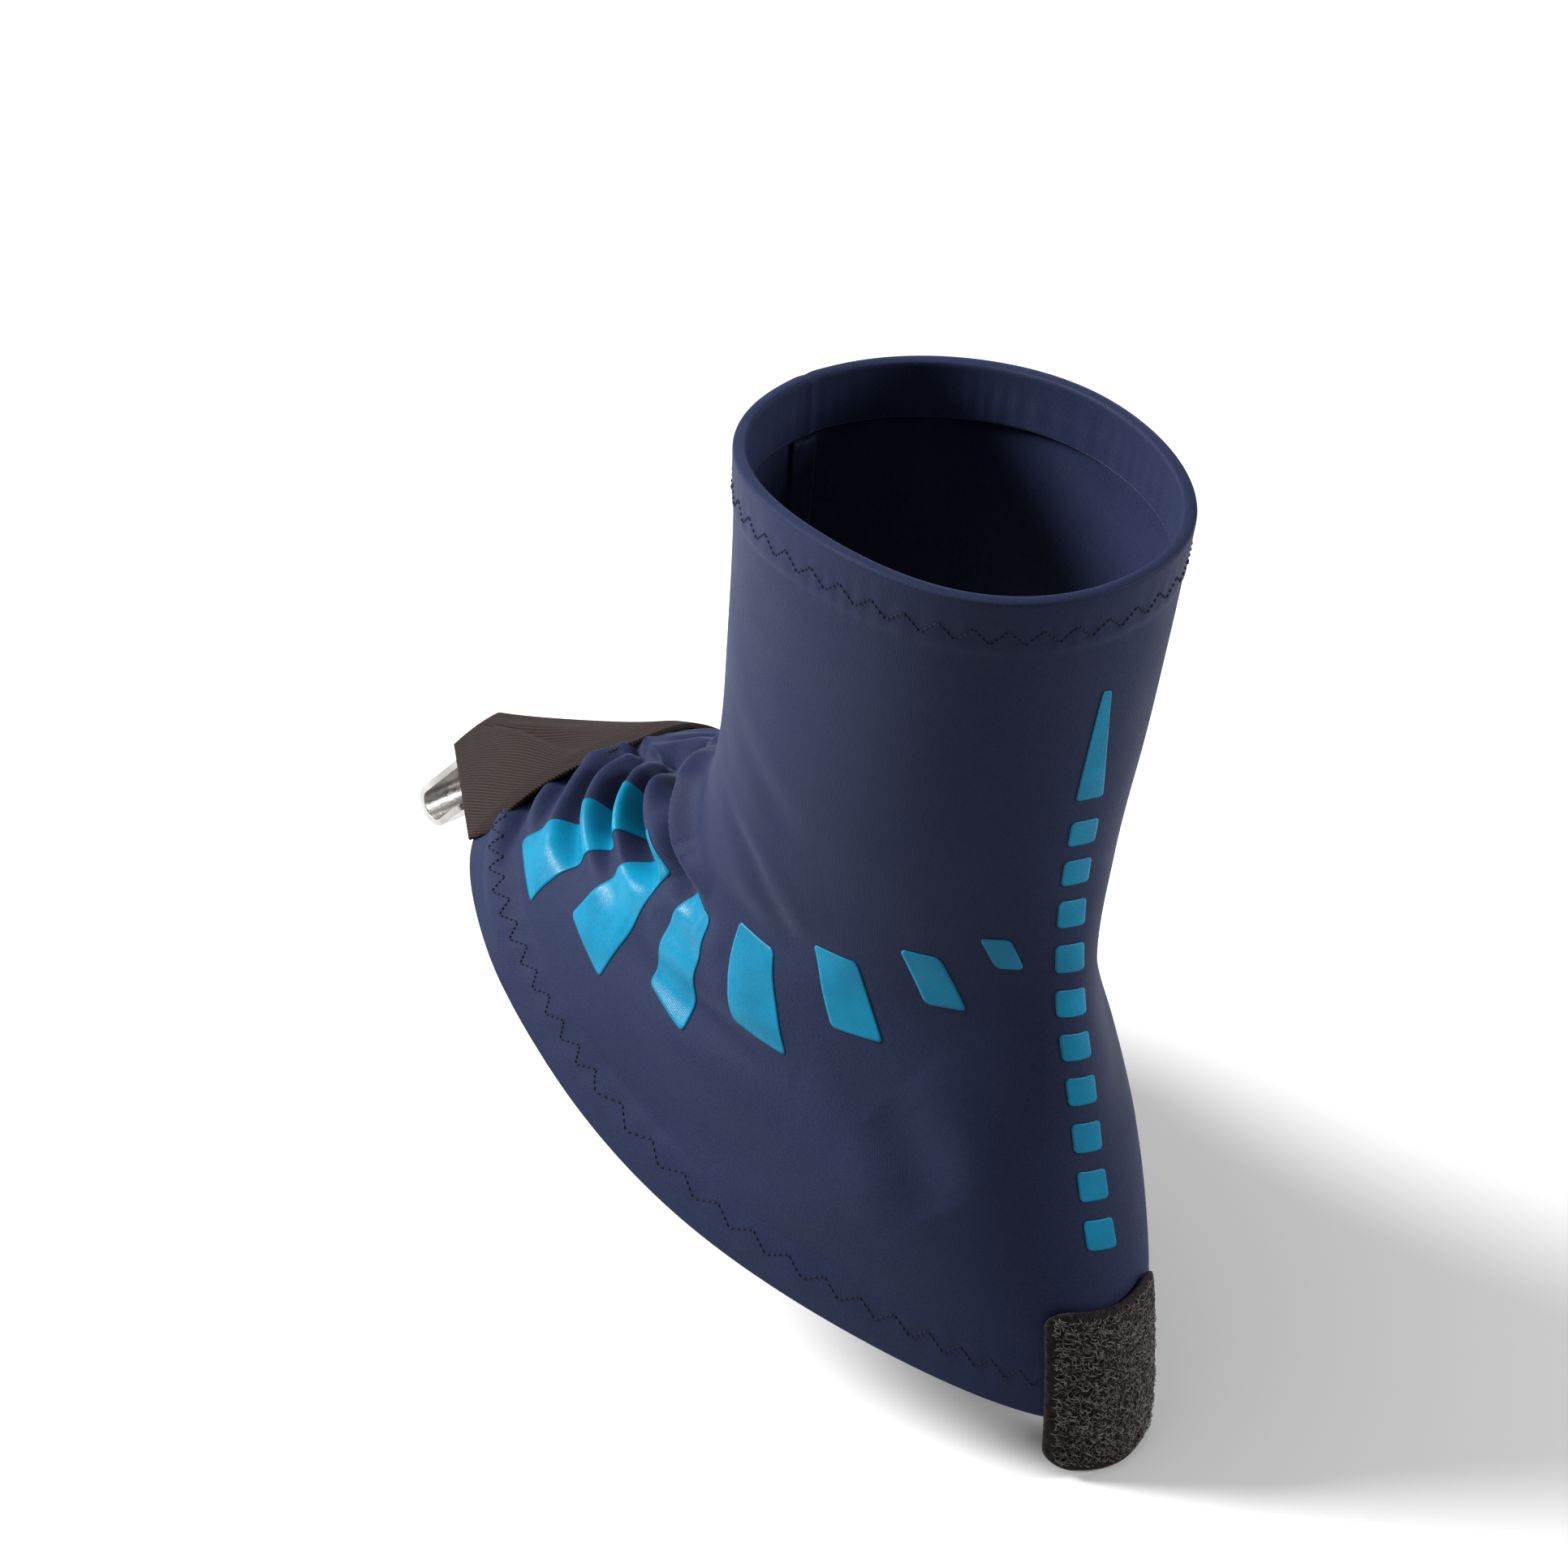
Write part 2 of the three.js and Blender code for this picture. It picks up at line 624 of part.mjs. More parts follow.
function heelTapeLower() {
  return tapeSolid(-heelTapeDrop, -gap / 2, 5);
}

// ---- assembly ----------------------------------------------------------------------------

const looks = {
  stretchCloth: { color: 0x2b3150, roughness: 0.75, metalness: 0 },
  elastic: { color: 0x1d2136, roughness: 0.85, metalness: 0 },
  thread: { color: 0x232845, roughness: 0.6, metalness: 0 },
  film: { color: 0x009fcb, roughness: 0.35, metalness: 0 },
  tabTwill: { color: 0x4a403e, roughness: 0.95, metalness: 0 },
  webbing: { color: 0x2a2727, roughness: 0.9, metalness: 0 },
  gripTape: { color: 0x171519, roughness: 1, metalness: 0 },
  label: { color: 0xd8d8d6, roughness: 0.6, metalness: 0 },
  steel: { color: 0xb9b6ae, roughness: 0.3, metalness: 1 },
};

const gaiter = new THREE.Group();

function add(name, geometry, look, parent = gaiter) {
  const mesh = new THREE.Mesh(geometry, new THREE.MeshStandardMaterial(looks[look]));
  mesh.name = name;
  parent.add(mesh);
}

add('body_panel', bodyPanel(), 'stretchCloth');
add('front_seam', frontSeam(), 'thread');
add('cuff_elastic', cuffElastic(), 'elastic');
add('lower_elastic', lowerElastic(), 'elastic');
add('cuff_hem_thread', zigzagThread(0, fromCuff), 'thread');
add('lower_hem_thread', zigzagThread(1, fromHem), 'thread');
add('outer_grip_patch', gripPatch(1), 'gripTape');
add('inner_grip_patch', gripPatch(-1), 'gripTape');
add('care_label', careLabel(), 'label');

for (let i = 0; i < sideBars; i += 1) {
  add(`side_film_${i + 1}`, sideBar(i / (sideBars - 1)), 'film');
}
add('back_film_blade', backBlade(), 'film');
for (let i = 0; i < backDashes; i += 1) {
  add(`back_film_${i + 1}`, backDash(i), 'film');
}

add('toe_tab_base', toeTabBase(), 'tabTwill');
add('toe_tab_outer', tabLayer(0, tabPly), 'tabTwill');
add('toe_tab_lining', tabLayer(tabPly + gap, tabStack), 'webbing');

const hookGroup = new THREE.Group();
hookGroup.position.copy(barPosition());
gaiter.add(hookGroup);
add('hook_webbing', hookWebbing(), 'webbing', hookGroup);
add('lace_hook', laceHook(), 'steel', hookGroup);

add('heel_tape_upper', heelTapeUpper(), 'gripTape');
add('heel_tape_lower', heelTapeLower(), 'gripTape');

export default gaiter;
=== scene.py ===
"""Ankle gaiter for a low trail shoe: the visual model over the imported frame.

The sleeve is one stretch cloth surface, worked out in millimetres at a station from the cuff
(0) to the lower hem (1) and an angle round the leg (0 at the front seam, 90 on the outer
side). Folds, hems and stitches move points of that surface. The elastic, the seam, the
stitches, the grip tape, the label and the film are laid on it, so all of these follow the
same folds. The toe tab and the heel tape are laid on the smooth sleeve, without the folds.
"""

import json
import math

import bpy
import numpy as np
from mathutils import Matrix, Vector


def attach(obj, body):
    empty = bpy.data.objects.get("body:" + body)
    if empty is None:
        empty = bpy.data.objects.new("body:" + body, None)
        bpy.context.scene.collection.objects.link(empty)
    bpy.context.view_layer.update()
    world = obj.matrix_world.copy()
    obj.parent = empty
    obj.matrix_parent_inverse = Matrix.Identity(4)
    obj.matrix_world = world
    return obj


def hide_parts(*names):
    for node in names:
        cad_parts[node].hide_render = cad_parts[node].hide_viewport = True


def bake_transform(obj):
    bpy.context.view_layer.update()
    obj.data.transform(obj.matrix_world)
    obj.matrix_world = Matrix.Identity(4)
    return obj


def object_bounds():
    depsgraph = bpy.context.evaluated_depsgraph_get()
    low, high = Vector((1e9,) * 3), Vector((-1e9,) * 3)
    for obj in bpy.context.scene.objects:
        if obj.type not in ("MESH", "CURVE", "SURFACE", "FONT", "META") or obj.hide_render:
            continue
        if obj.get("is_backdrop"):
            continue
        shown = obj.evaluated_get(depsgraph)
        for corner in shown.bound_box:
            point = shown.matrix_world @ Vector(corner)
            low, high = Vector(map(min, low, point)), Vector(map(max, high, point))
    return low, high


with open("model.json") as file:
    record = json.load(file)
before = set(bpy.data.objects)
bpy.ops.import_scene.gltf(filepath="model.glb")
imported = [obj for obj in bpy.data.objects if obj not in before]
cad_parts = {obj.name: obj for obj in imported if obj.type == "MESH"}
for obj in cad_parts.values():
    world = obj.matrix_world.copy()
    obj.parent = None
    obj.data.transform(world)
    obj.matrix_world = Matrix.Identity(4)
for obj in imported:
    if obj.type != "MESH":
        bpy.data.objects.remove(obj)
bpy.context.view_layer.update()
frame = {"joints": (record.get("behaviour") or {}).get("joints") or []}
rng = np.random.default_rng(11)

MM = 0.001
TURN = 2 * math.pi

# ---- the sleeve's surface -----------------------------------------------------------------

# station; front y, z; back y, z; half width; widest share; front and back bluntness; drop
SECTIONS = np.array([
    [0.00, -45.3, 0.7, 46.5, -0.4, 35.7, 0.49, 0.05, 0.10, -2.0],
    [0.14, -47.6, -22.6, 41.4, -24.0, 34.5, 0.50, 0.05, 0.10, -0.8],
    [0.28, -51.0, -46.0, 37.0, -48.6, 33.2, 0.48, 0.00, 0.05, 0.0],
    [0.42, -55.4, -68.0, 33.1, -73.0, 31.2, 0.45, 0.00, -0.08, 0.5],
    [0.54, -64.2, -88.0, 33.0, -94.8, 30.5, 0.44, 0.00, -0.28, 2.6],
    [0.66, -79.8, -100.0, 36.7, -114.6, 33.2, 0.43, 0.03, -0.15, 6.4],
    [0.78, -97.2, -106.0, 41.0, -136.4, 37.3, 0.42, 0.08, 0.00, 9.7],
    [0.90, -114.0, -112.6, 46.0, -158.8, 40.7, 0.38, 0.18, -0.03, 10.4],
    [1.00, -124.5, -119.7, 47.5, -180.3, 45.0, 0.36, 0.30, -0.15, 8.5],
])
STATIONS, VALUES = SECTIONS[:, 0], SECTIONS[:, 1:]
SLOPES = np.array([
    (VALUES[min(i + 1, len(VALUES) - 1)] - VALUES[max(i - 1, 0)])
    / (STATIONS[min(i + 1, len(VALUES) - 1)] - STATIONS[max(i - 1, 0)])
    for i in range(len(VALUES))
])

CLOTH = 0.6                  # thickness of the knit
HEM = 12.0                   # depth of the turned-in hems
FOLD = 0.9                   # cloth left below the hem's fold line
HEM_HOLLOW = 1.3             # room for the elastic between the two layers
STITCH_ROW = 8.2             # stitching's distance from either edge
SEAM_WIDTH = 5.6             # overlocked allowance inside the front seam


def section(t):
    """The listed values at each station, by cubic curves through them."""
    i = np.clip(np.searchsorted(STATIONS, t, side="right") - 1, 0, len(STATIONS) - 2)
    span = (STATIONS[i + 1] - STATIONS[i])[..., None]
    s = (t - STATIONS[i])[..., None] / span
    return (
        (2 * s**3 - 3 * s**2 + 1) * VALUES[i]
        + (s**3 - 2 * s**2 + s) * span * SLOPES[i]
        + (3 * s**2 - 2 * s**3) * VALUES[i + 1]
        + (s**3 - s**2) * span * SLOPES[i + 1]
    )


def smooth_sleeve(t, angle):
    """Points of the sleeve without its folds, in millimetres."""
    t, angle = np.broadcast_arrays(np.asarray(t, float), np.asarray(angle, float))
    front_y, front_z, back_y, back_z, half, widest, front, back, drop = np.moveaxis(
        section(np.clip(t, 0, 1)), -1, 0
    )
    c, s = np.cos(angle), np.sin(angle)
    share = widest - c * np.where(c >= 0, widest, 1 - widest)
    sag = drop * np.sin(np.pi * np.clip(share, 0, 1)) ** 1.5 * np.abs(s)
    return np.stack([
        half * s * (1 + np.where(c >= 0, front, back) * c * c),
        front_y + (back_y - front_y) * share,
        front_z + (back_z - front_z) * share - sag,
    ], axis=-1)


def directions(t, angle):
    """Outward direction, and millimetres per unit of station and of angle."""
    step = 1e-3
    t = np.clip(np.asarray(t, float), step, 1 - step)
    down = (smooth_sleeve(t + step, angle) - smooth_sleeve(t - step, angle)) / (2 * step)
    turn = (smooth_sleeve(t, angle + step) - smooth_sleeve(t, angle - step)) / (2 * step)
    out = np.cross(down, turn)
    out /= np.linalg.norm(out, axis=-1, keepdims=True)
    return out, np.linalg.norm(down, axis=-1), np.linalg.norm(turn, axis=-1)


def from_cuff(distance, angle):
    """Station of the places this far below the cuff's edge."""
    return distance / directions(0.0, angle)[1]


def from_hem(distance, angle):
    """Station of the places this far above the lower edge."""
    return 1 - distance / directions(1.0, angle)[1]


def between(ends, share):
    """The value at a share of the way from the first end to the second."""
    return ends[0] + (ends[1] - ends[0]) * share


# ---- folds --------------------------------------------------------------------------------

HEM_STEP = 0.32              # how far the doubled hem stands above the single cloth
STITCH_DENT = 0.10           # how deep the stitching pulls the cloth in
PUCKER = 0.05                # height of the small puckers along the stitching
SEAM_DENT = 0.30             # groove along the front seam
SEAM_SWELL = 0.18            # cloth raised over the seam's allowance

# A crease's cross-section, in shares of its own width and depth.
CREASE_REACH = 5             # it moves nothing beyond this many widths
LIP_AWAY, LIP_WIDTH = 1.9, 1.1
LIP_HEIGHT = 0.42

# Creases where the sleeve bends at the ankle and where the toe tab pulls it. Each has its
# route in (station, degrees), depth and width in millimetres, and how much higher its lip
# stands on the side towards the cuff (+) or the hem (-).
OUTER_FOLDS = [
    ([(0.700, -8), (0.628, 10), (0.568, 30), (0.584, 45), (0.604, 58), (0.604, 76)], 7.6, 3.1, 0.7),
    ([(0.748, -6), (0.700, 6), (0.668, 17), (0.672, 31), (0.672, 44), (0.640, 58)], 6.6, 2.8, 0.5),
    ([(0.764, 0), (0.742, 12), (0.736, 24), (0.738, 38), (0.728, 54)], 4.4, 2.5, 0.4),
    ([(0.786, -2), (0.796, 8), (0.806, 21), (0.804, 36), (0.786, 50)], 3.4, 2.5, 0.3),
    ([(0.866, 8), (0.856, 16), (0.852, 26), (0.856, 40)], 2.2, 2.3, 0.2),
    ([(0.896, 14), (0.899, 24), (0.912, 34), (0.930, 46)], 2.0, 2.2, 0.2),
    ([(0.880, 26), (0.894, 37), (0.914, 53), (0.936, 70)], 1.1, 3.4, 0.0),
    ([(0.965, 34), (0.982, 46), (0.988, 62)], 0.7, 2.2, 0.0),
    ([(0.905, 21), (0.880, 14), (0.852, 8), (0.834, 0), (0.842, -9)], 2.0, 1.6, 0.5),
    ([(0.838, -4), (0.800, 0), (0.766, 4), (0.735, 9)], 1.3, 1.3, 0.0),
    ([(0.744, 62), (0.724, 76), (0.704, 91), (0.704, 110)], 2.0, 4.4, 0.2),
    ([(0.664, 62), (0.652, 74), (0.646, 90)], 1.3, 3.4, 0.2),
    ([(0.566, 62), (0.554, 80), (0.544, 97), (0.524, 114)], 1.0, 4.6, 0.0),
    ([(0.918, 76), (0.912, 91), (0.892, 102), (0.862, 114)], 0.8, 4.0, 0.0),
    ([(0.440, 62), (0.458, 76), (0.500, 92), (0.540, 100)], 0.6, 3.0, 0.4),
    ([(0.300, 60), (0.360, 84), (0.420, 100)], 0.35, 4.0, 0.0),
    ([(0.860, 84), (0.840, 104), (0.850, 124)], 0.6, 5.0, 0.0),
    ([(0.700, 126), (0.745, 136), (0.800, 142)], 1.3, 6.0, 0.3),
    ([(0.930, 100), (0.915, 118), (0.930, 136)], 0.5, 3.5, 0.0),
]
INNER_FOLDS = [
    ([(0.735, 4), (0.694, -12), (0.650, -26), (0.655, -46), (0.668, -60)], 5.6, 2.7, 0.4),
    ([(0.690, 5), (0.632, -10), (0.588, -34), (0.586, -54), (0.604, -74)], 6.2, 3.0, 0.6),
    ([(0.785, -4), (0.770, -16), (0.764, -30), (0.780, -44)], 2.0, 2.2, 0.2),
    ([(0.750, -2), (0.733, -20), (0.728, -36), (0.742, -52)], 1.8, 2.1, 0.2),
    ([(0.852, -14), (0.866, -26), (0.880, -36)], 1.7, 2.0, 0.2),
    ([(0.886, -17), (0.902, -30), (0.925, -44)], 1.8, 2.1, 0.2),
    ([(0.925, -30), (0.945, -44), (0.958, -62)], 1.0, 2.3, 0.0),
    ([(0.770, -64), (0.742, -80), (0.752, -98)], 1.4, 3.8, 0.2),
    ([(0.700, -72), (0.688, -90), (0.700, -106)], 0.9, 3.6, 0.0),
    ([(0.470, -70), (0.505, -90), (0.545, -104)], 0.6, 3.4, 0.2),
    ([(0.330, -56), (0.370, -78), (0.430, -96)], 0.4, 4.2, 0.0),
    ([(0.850, -88), (0.835, -108), (0.848, -126)], 0.6, 4.6, 0.0),
    ([(0.700, -126), (0.748, -137), (0.800, -142)], 1.2, 6.0, 0.3),
]


def curve_through(points, count):
    """A smooth curve of count points through the listed ones (Catmull-Rom)."""
    points = np.asarray(points, float)
    ends = np.vstack([2 * points[0] - points[1], points, 2 * points[-1] - points[-2]])
    place = np.linspace(0, len(points) - 1, count)
    i = np.minimum(place.astype(int), len(points) - 2)
    s = (place - i)[:, None]
    a, b, c, d = (ends[i + k] for k in range(4))
    return 0.5 * (2 * b + (c - a) * s + (2 * a - 5 * b + 4 * c - d) * s**2
                  + (3 * b - a - 3 * c + d) * s**3)


def along_route(points, route):
    """Distance from each point to the route, the share of it passed, and which side."""
    best = np.full(len(points), np.inf)
    share = np.zeros(len(points))
    side = np.zeros(len(points))
    for k in range(len(route) - 1):
        a, leg = route[k], route[k + 1] - route[k]
        s = np.clip(((points - a) @ leg) / (leg @ leg), 0, 1)
        off = points - (a + s[:, None] * leg)
        distance = np.linalg.norm(off, axis=1)
        nearer = distance < best
        best = np.where(nearer, distance, best)
        share = np.where(nearer, (k + s) / (len(route) - 1), share)
        side = np.where(nearer, off[:, 2] / np.maximum(distance, 1e-6), side)
    return best, share, side


def add_crease(height, points, fold):
    """Presses one crease, with its two raised lips, into the heights of these points."""
    route_places, depth, width, lean = fold
    places = curve_through(route_places, 14)
    route = smooth_sleeve(places[:, 0], np.radians(places[:, 1]))
    reach = CREASE_REACH * width
    near = ((points > route.min(0) - reach) & (points < route.max(0) + reach)).all(1)
    distance, share, side = along_route(points[near], route)
    fade = np.sin(np.pi * np.clip(share, 0.02, 0.98)) ** 0.8
    pit = np.exp(-((distance / width) ** 2))
    lip = np.exp(-(((distance - LIP_AWAY * width) / (LIP_WIDTH * width)) ** 2))
    height[near] += depth * fade * (lip * (LIP_HEIGHT + lean * side * 0.5) - pit)


def hem_relief(t, angle):
    """Height that the doubled hems, their stitching and the front seam add."""
    height = np.zeros(np.broadcast(t, angle).shape)
    for edge, slow in ((0.0, t), (1.0, 1 - t)):
        distance = slow * directions(edge, angle)[1]
        from_row = distance - STITCH_ROW
        height += HEM_STEP / (1 + np.exp((distance - HEM) / 0.35))
        height -= STITCH_DENT * np.exp(-((from_row / 1.8) ** 2))
        pucker = np.sin(angle * 62 + 3 * np.sin(angle * 7))
        height += PUCKER * pucker * np.exp(-((from_row / 4.0) ** 2))
    from_seam = 2 * np.sin(angle / 2) * directions(0.5, 0.0)[2]
    height -= SEAM_DENT * np.exp(-((from_seam / 0.8) ** 2))
    return height + SEAM_SWELL * np.exp(-((from_seam / 3.0) ** 2))


def loose_waves(t, angle):
    """Slow unevenness of cloth that is stretched over a foot, more of it towards the hem."""
    slow = np.sin(3.1 * angle + 9 * t + 0.4) * np.sin(11 * t + 2 * angle)
    middle = np.sin(7.3 * angle - 14 * t) * np.sin(23 * t + 1.7 + 3 * np.cos(angle))
    return (0.12 + 0.45 * t**2) * slow + 0.13 * t * middle


def relief(t, angle):
    """Height of the folded cloth above the smooth sleeve, for any grid of places."""
    t, angle = np.broadcast_arrays(np.asarray(t, float), np.asarray(angle, float))
    points = smooth_sleeve(t, angle).reshape(-1, 3)
    height = np.zeros(len(points))
    for fold in OUTER_FOLDS + INNER_FOLDS:
        add_crease(height, points, fold)
    return height.reshape(t.shape) + loose_waves(t, angle) + hem_relief(t, angle)


def on_cloth(t, angle, height=0.0):
    """Points above the folded cloth's outer face."""
    out, _, _ = directions(t, angle)
    return smooth_sleeve(t, angle) + out * (relief(t, angle) + height)[..., None]


# ---- meshes -------------------------------------------------------------------------------

def mesh_object(name, points, faces, material, uv=None):
    """A mesh from points in millimetres. uv holds one place for every corner of every face."""
    mesh = bpy.data.meshes.new(name)
    mesh.from_pydata((np.asarray(points) * MM).tolist(), [], np.asarray(faces).tolist())
    if uv is not None:
        layer = mesh.uv_layers.new(name="UVMap")
        layer.data.foreach_set("uv", np.asarray(uv, np.float32).ravel())
    mesh.polygons.foreach_set("use_smooth", np.ones(len(mesh.polygons), bool))
    mesh.materials.append(material)
    mesh.update()
    obj = bpy.data.objects.new(name, mesh)
    bpy.context.scene.collection.objects.link(obj)
    return obj


def grid_faces(rows, cols, wrap_rows=False, wrap_cols=False, start=0):
    """Quads of a grid of points, with their corners as (row, col) for texture places."""
    i, j = np.meshgrid(
        np.arange(rows - (not wrap_rows)), np.arange(cols - (not wrap_cols)), indexing="ij"
    )
    corners = [(i, j), (i, j + 1), (i + 1, j + 1), (i + 1, j)]
    faces = np.stack([start + (a % rows) * cols + b % cols for a, b in corners], -1).reshape(-1, 4)
    return faces, [(a.ravel(), b.ravel()) for a, b in corners]


def face_out(points, faces, uv=None):
    """Turns all faces of a closed mesh outward if its volume comes out negative."""
    a, b, c, d = (points[faces[:, k]] for k in range(4))
    volume = np.einsum("ij,ij->i", a, np.cross(b, c)) + np.einsum("ij,ij->i", a, np.cross(c, d))
    if volume.sum() < 0:
        faces = faces[:, ::-1]
        uv = None if uv is None else uv[:, ::-1]
    return faces, uv


def ring(name, loops, material, uv_grid=None):
    """A closed tube of cloth: loops[row][col] joins up both ways."""
    rows, cols = loops.shape[:2]
    faces, corners = grid_faces(rows, cols, wrap_rows=True, wrap_cols=True)
    uv = None
    if uv_grid is not None:
        uv = np.stack([uv_grid[a, b] for a, b in corners], axis=1)
    points = loops.reshape(-1, 3)
    faces, uv = face_out(points, faces, uv)
    return mesh_object(name, points, faces, material, uv)


def sheet_mesh(name, top, bottom, material, uv_grid=None):
    """A thin closed sheet between two grids of points, with its rim closed."""
    rows, cols = top.shape[:2]
    count = rows * cols
    upper, corners = grid_faces(rows, cols)
    lower = upper[:, ::-1] + count
    rim = np.concatenate([
        np.arange(cols),
        np.arange(1, rows) * cols + cols - 1,
        (rows - 1) * cols + np.arange(cols - 2, -1, -1),
        np.arange(rows - 2, 0, -1) * cols,
    ])
    after = np.roll(rim, -1)
    sides = np.stack([after, rim, rim + count, after + count], axis=1)
    points = np.concatenate([top.reshape(-1, 3), bottom.reshape(-1, 3)])
    faces = np.concatenate([upper, lower, sides])
    uv = None
    if uv_grid is not None:
        flat = np.tile(uv_grid.reshape(-1, 2), (2, 1))
        uv = flat[faces]
    faces, uv = face_out(points, faces, uv)
    return mesh_object(name, points, faces, material, uv)


def arc_lengths(points, axis):
    """Running length along one axis of a grid of points, from 0."""
    steps = np.linalg.norm(np.diff(points, axis=axis), axis=-1)
    zero = np.zeros_like(np.take(steps, [0], axis=axis))
    return np.cumsum(np.concatenate([zero, steps], axis=axis), axis=axis)


def surface_uv(points):
    """Texture places in centimetres along a grid of points: across, then along."""
    across = arc_lengths(points, 1)
    along = arc_lengths(points, 0)
    return np.stack([across - across.mean(1, keepdims=True), along], axis=-1) * 0.1


# ---- materials ----------------------------------------------------------------------------

class Nodes:
    """A small builder for a material's node tree. Scales are per metre, bump in metres."""

    def __init__(self, name, color, roughness, **sockets):
        self.material = bpy.data.materials.new(name)
        self.material.use_nodes = True
        self.tree = self.material.node_tree
        self.shader = self.tree.nodes["Principled BSDF"]
        self.shader.inputs["Base Color"].default_value = (*color, 1)
        self.shader.inputs["Roughness"].default_value = roughness
        for socket, value in sockets.items():
            self.shader.inputs[socket.replace("_", " ")].default_value = value
        self.place = self.tree.nodes.new("ShaderNodeTexCoord")

    def add(self, kind, inputs=None, **settings):
        node = self.tree.nodes.new(kind)
        for key, value in settings.items():
            setattr(node, key, value)
        for key, value in (inputs or {}).items():
            if isinstance(value, bpy.types.NodeSocket):
                self.tree.links.new(value, node.inputs[key])
            else:
                node.inputs[key].default_value = value
        return node.outputs[0]

    def math(self, operation, a, b=0.0):
        return self.add("ShaderNodeMath", {0: a, 1: b}, operation=operation)

    def noise(self, scale, detail=2.0, stretch=(1, 1, 1)):
        mapped = self.add("ShaderNodeMapping", {
            "Vector": self.place.outputs["Object"], "Scale": stretch})
        return self.add("ShaderNodeTexNoise", {"Vector": mapped, "Scale": scale, "Detail": detail})

    def stripes(self, axis, per_cm, shift=None):
        """Ridges across the cloth's texture places, from 0 to 1."""
        split = self.tree.nodes.new("ShaderNodeSeparateXYZ")
        self.tree.links.new(self.place.outputs["UV"], split.inputs[0])
        turned = self.math("MULTIPLY", split.outputs[axis], per_cm * TURN)
        if shift is not None:
            turned = self.math("ADD", turned, shift)
        return self.math("MULTIPLY_ADD", self.math("SINE", turned), 0.5)

    def mix(self, share, a, b):
        """A colour between two colours. The share and each colour is a value or a socket."""
        node = self.tree.nodes.new("ShaderNodeMix")
        node.data_type = "RGBA"
        if isinstance(share, bpy.types.NodeSocket):
            self.tree.links.new(share, node.inputs[0])
        else:
            node.inputs[0].default_value = share
        for socket, value in ((node.inputs[6], a), (node.inputs[7], b)):
            if isinstance(value, bpy.types.NodeSocket):
                self.tree.links.new(value, socket)
            else:
                socket.default_value = (*value, 1)
        return node.outputs[2]

    def ramp(self, value, low, high):
        """Spreads the middle of a noise's range, 0.35 to 0.65, over low to high."""
        return self.add("ShaderNodeMapRange", {
            "Value": value, "From Min": 0.35, "From Max": 0.65, "To Min": low, "To Max": high})

    def color(self, socket):
        self.tree.links.new(socket, self.shader.inputs["Base Color"])

    def roughness(self, socket):
        self.tree.links.new(socket, self.shader.inputs["Roughness"])

    def bump(self, socket, strength, distance):
        made = self.add("ShaderNodeBump", {
            "Height": socket, "Strength": strength, "Distance": distance})
        self.tree.links.new(made, self.shader.inputs["Normal"])


def knit_material():
    """Fine navy stretch knit: narrow wales, small courses and a soft bluish sheen."""
    n = Nodes("stretch_knit", (0.0082, 0.0122, 0.034), 0.55,
              Sheen_Weight=0.10, Sheen_Roughness=0.32, Sheen_Tint=(0.50, 0.60, 0.90, 1),
              Specular_IOR_Level=0.07)
    wales = n.stripes(0, 20)
    courses = n.stripes(1, 26, n.math("MULTIPLY", wales, 2.2))
    knit = n.math("MULTIPLY", wales, courses)
    patches = n.noise(46, 3)
    grain = n.noise(2600, 2)
    tone = n.mix(n.ramp(patches, 0, 1), (0.0068, 0.0102, 0.029), (0.0092, 0.0136, 0.037))
    speck = n.mix(n.ramp(grain, 0, 1), (0.0058, 0.0088, 0.025), (0.0115, 0.0165, 0.043))
    n.color(n.mix(0.5, tone, speck))
    n.roughness(n.ramp(patches, 0.56, 0.70))
    height = n.math("ADD", knit, n.math("MULTIPLY", grain, 0.6))
    n.bump(height, 0.35, 0.00012)
    return n.material


def thread_material():
    """Dark navy sewing thread with a slightly hairy surface."""
    n = Nodes("textured_thread", (0.003, 0.004, 0.011), 0.8, Specular_IOR_Level=0.2)
    n.bump(n.noise(5200, 2), 0.4, 0.00008)
    n.color(n.mix(n.ramp(n.noise(900), 0, 1), (0.002, 0.0025, 0.008), (0.005, 0.0065, 0.017)))
    return n.material


def elastic_material():
    """Woven elastic with fine ribs that run along it."""
    n = Nodes("woven_elastic", (0.012, 0.014, 0.028), 0.85, Sheen_Weight=0.2)
    ribs = n.stripes(1, 9)
    n.color(n.mix(ribs, (0.008, 0.010, 0.020), (0.022, 0.026, 0.05)))
    n.bump(n.math("ADD", ribs, n.stripes(0, 12)), 0.6, 0.0002)
    return n.material


def film_material():
    """Heat-bonded film: bright, slightly glossy, with the knit printing faintly through."""
    n = Nodes("bonded_film", (0.0, 0.105, 0.185), 0.40, Specular_IOR_Level=0.09)
    cloudy = n.noise(120, 3)
    fine = n.noise(1900, 2)
    n.color(n.mix(n.ramp(cloudy, 0, 1), (0.0, 0.092, 0.165), (0.0, 0.118, 0.205)))
    n.roughness(n.ramp(fine, 0.24, 0.44))
    print_through = n.math("MULTIPLY", n.stripes(0, 20), n.stripes(1, 26))
    n.bump(n.math("ADD", n.math("MULTIPLY", fine, 0.8), print_through), 0.28, 0.00009)
    return n.material


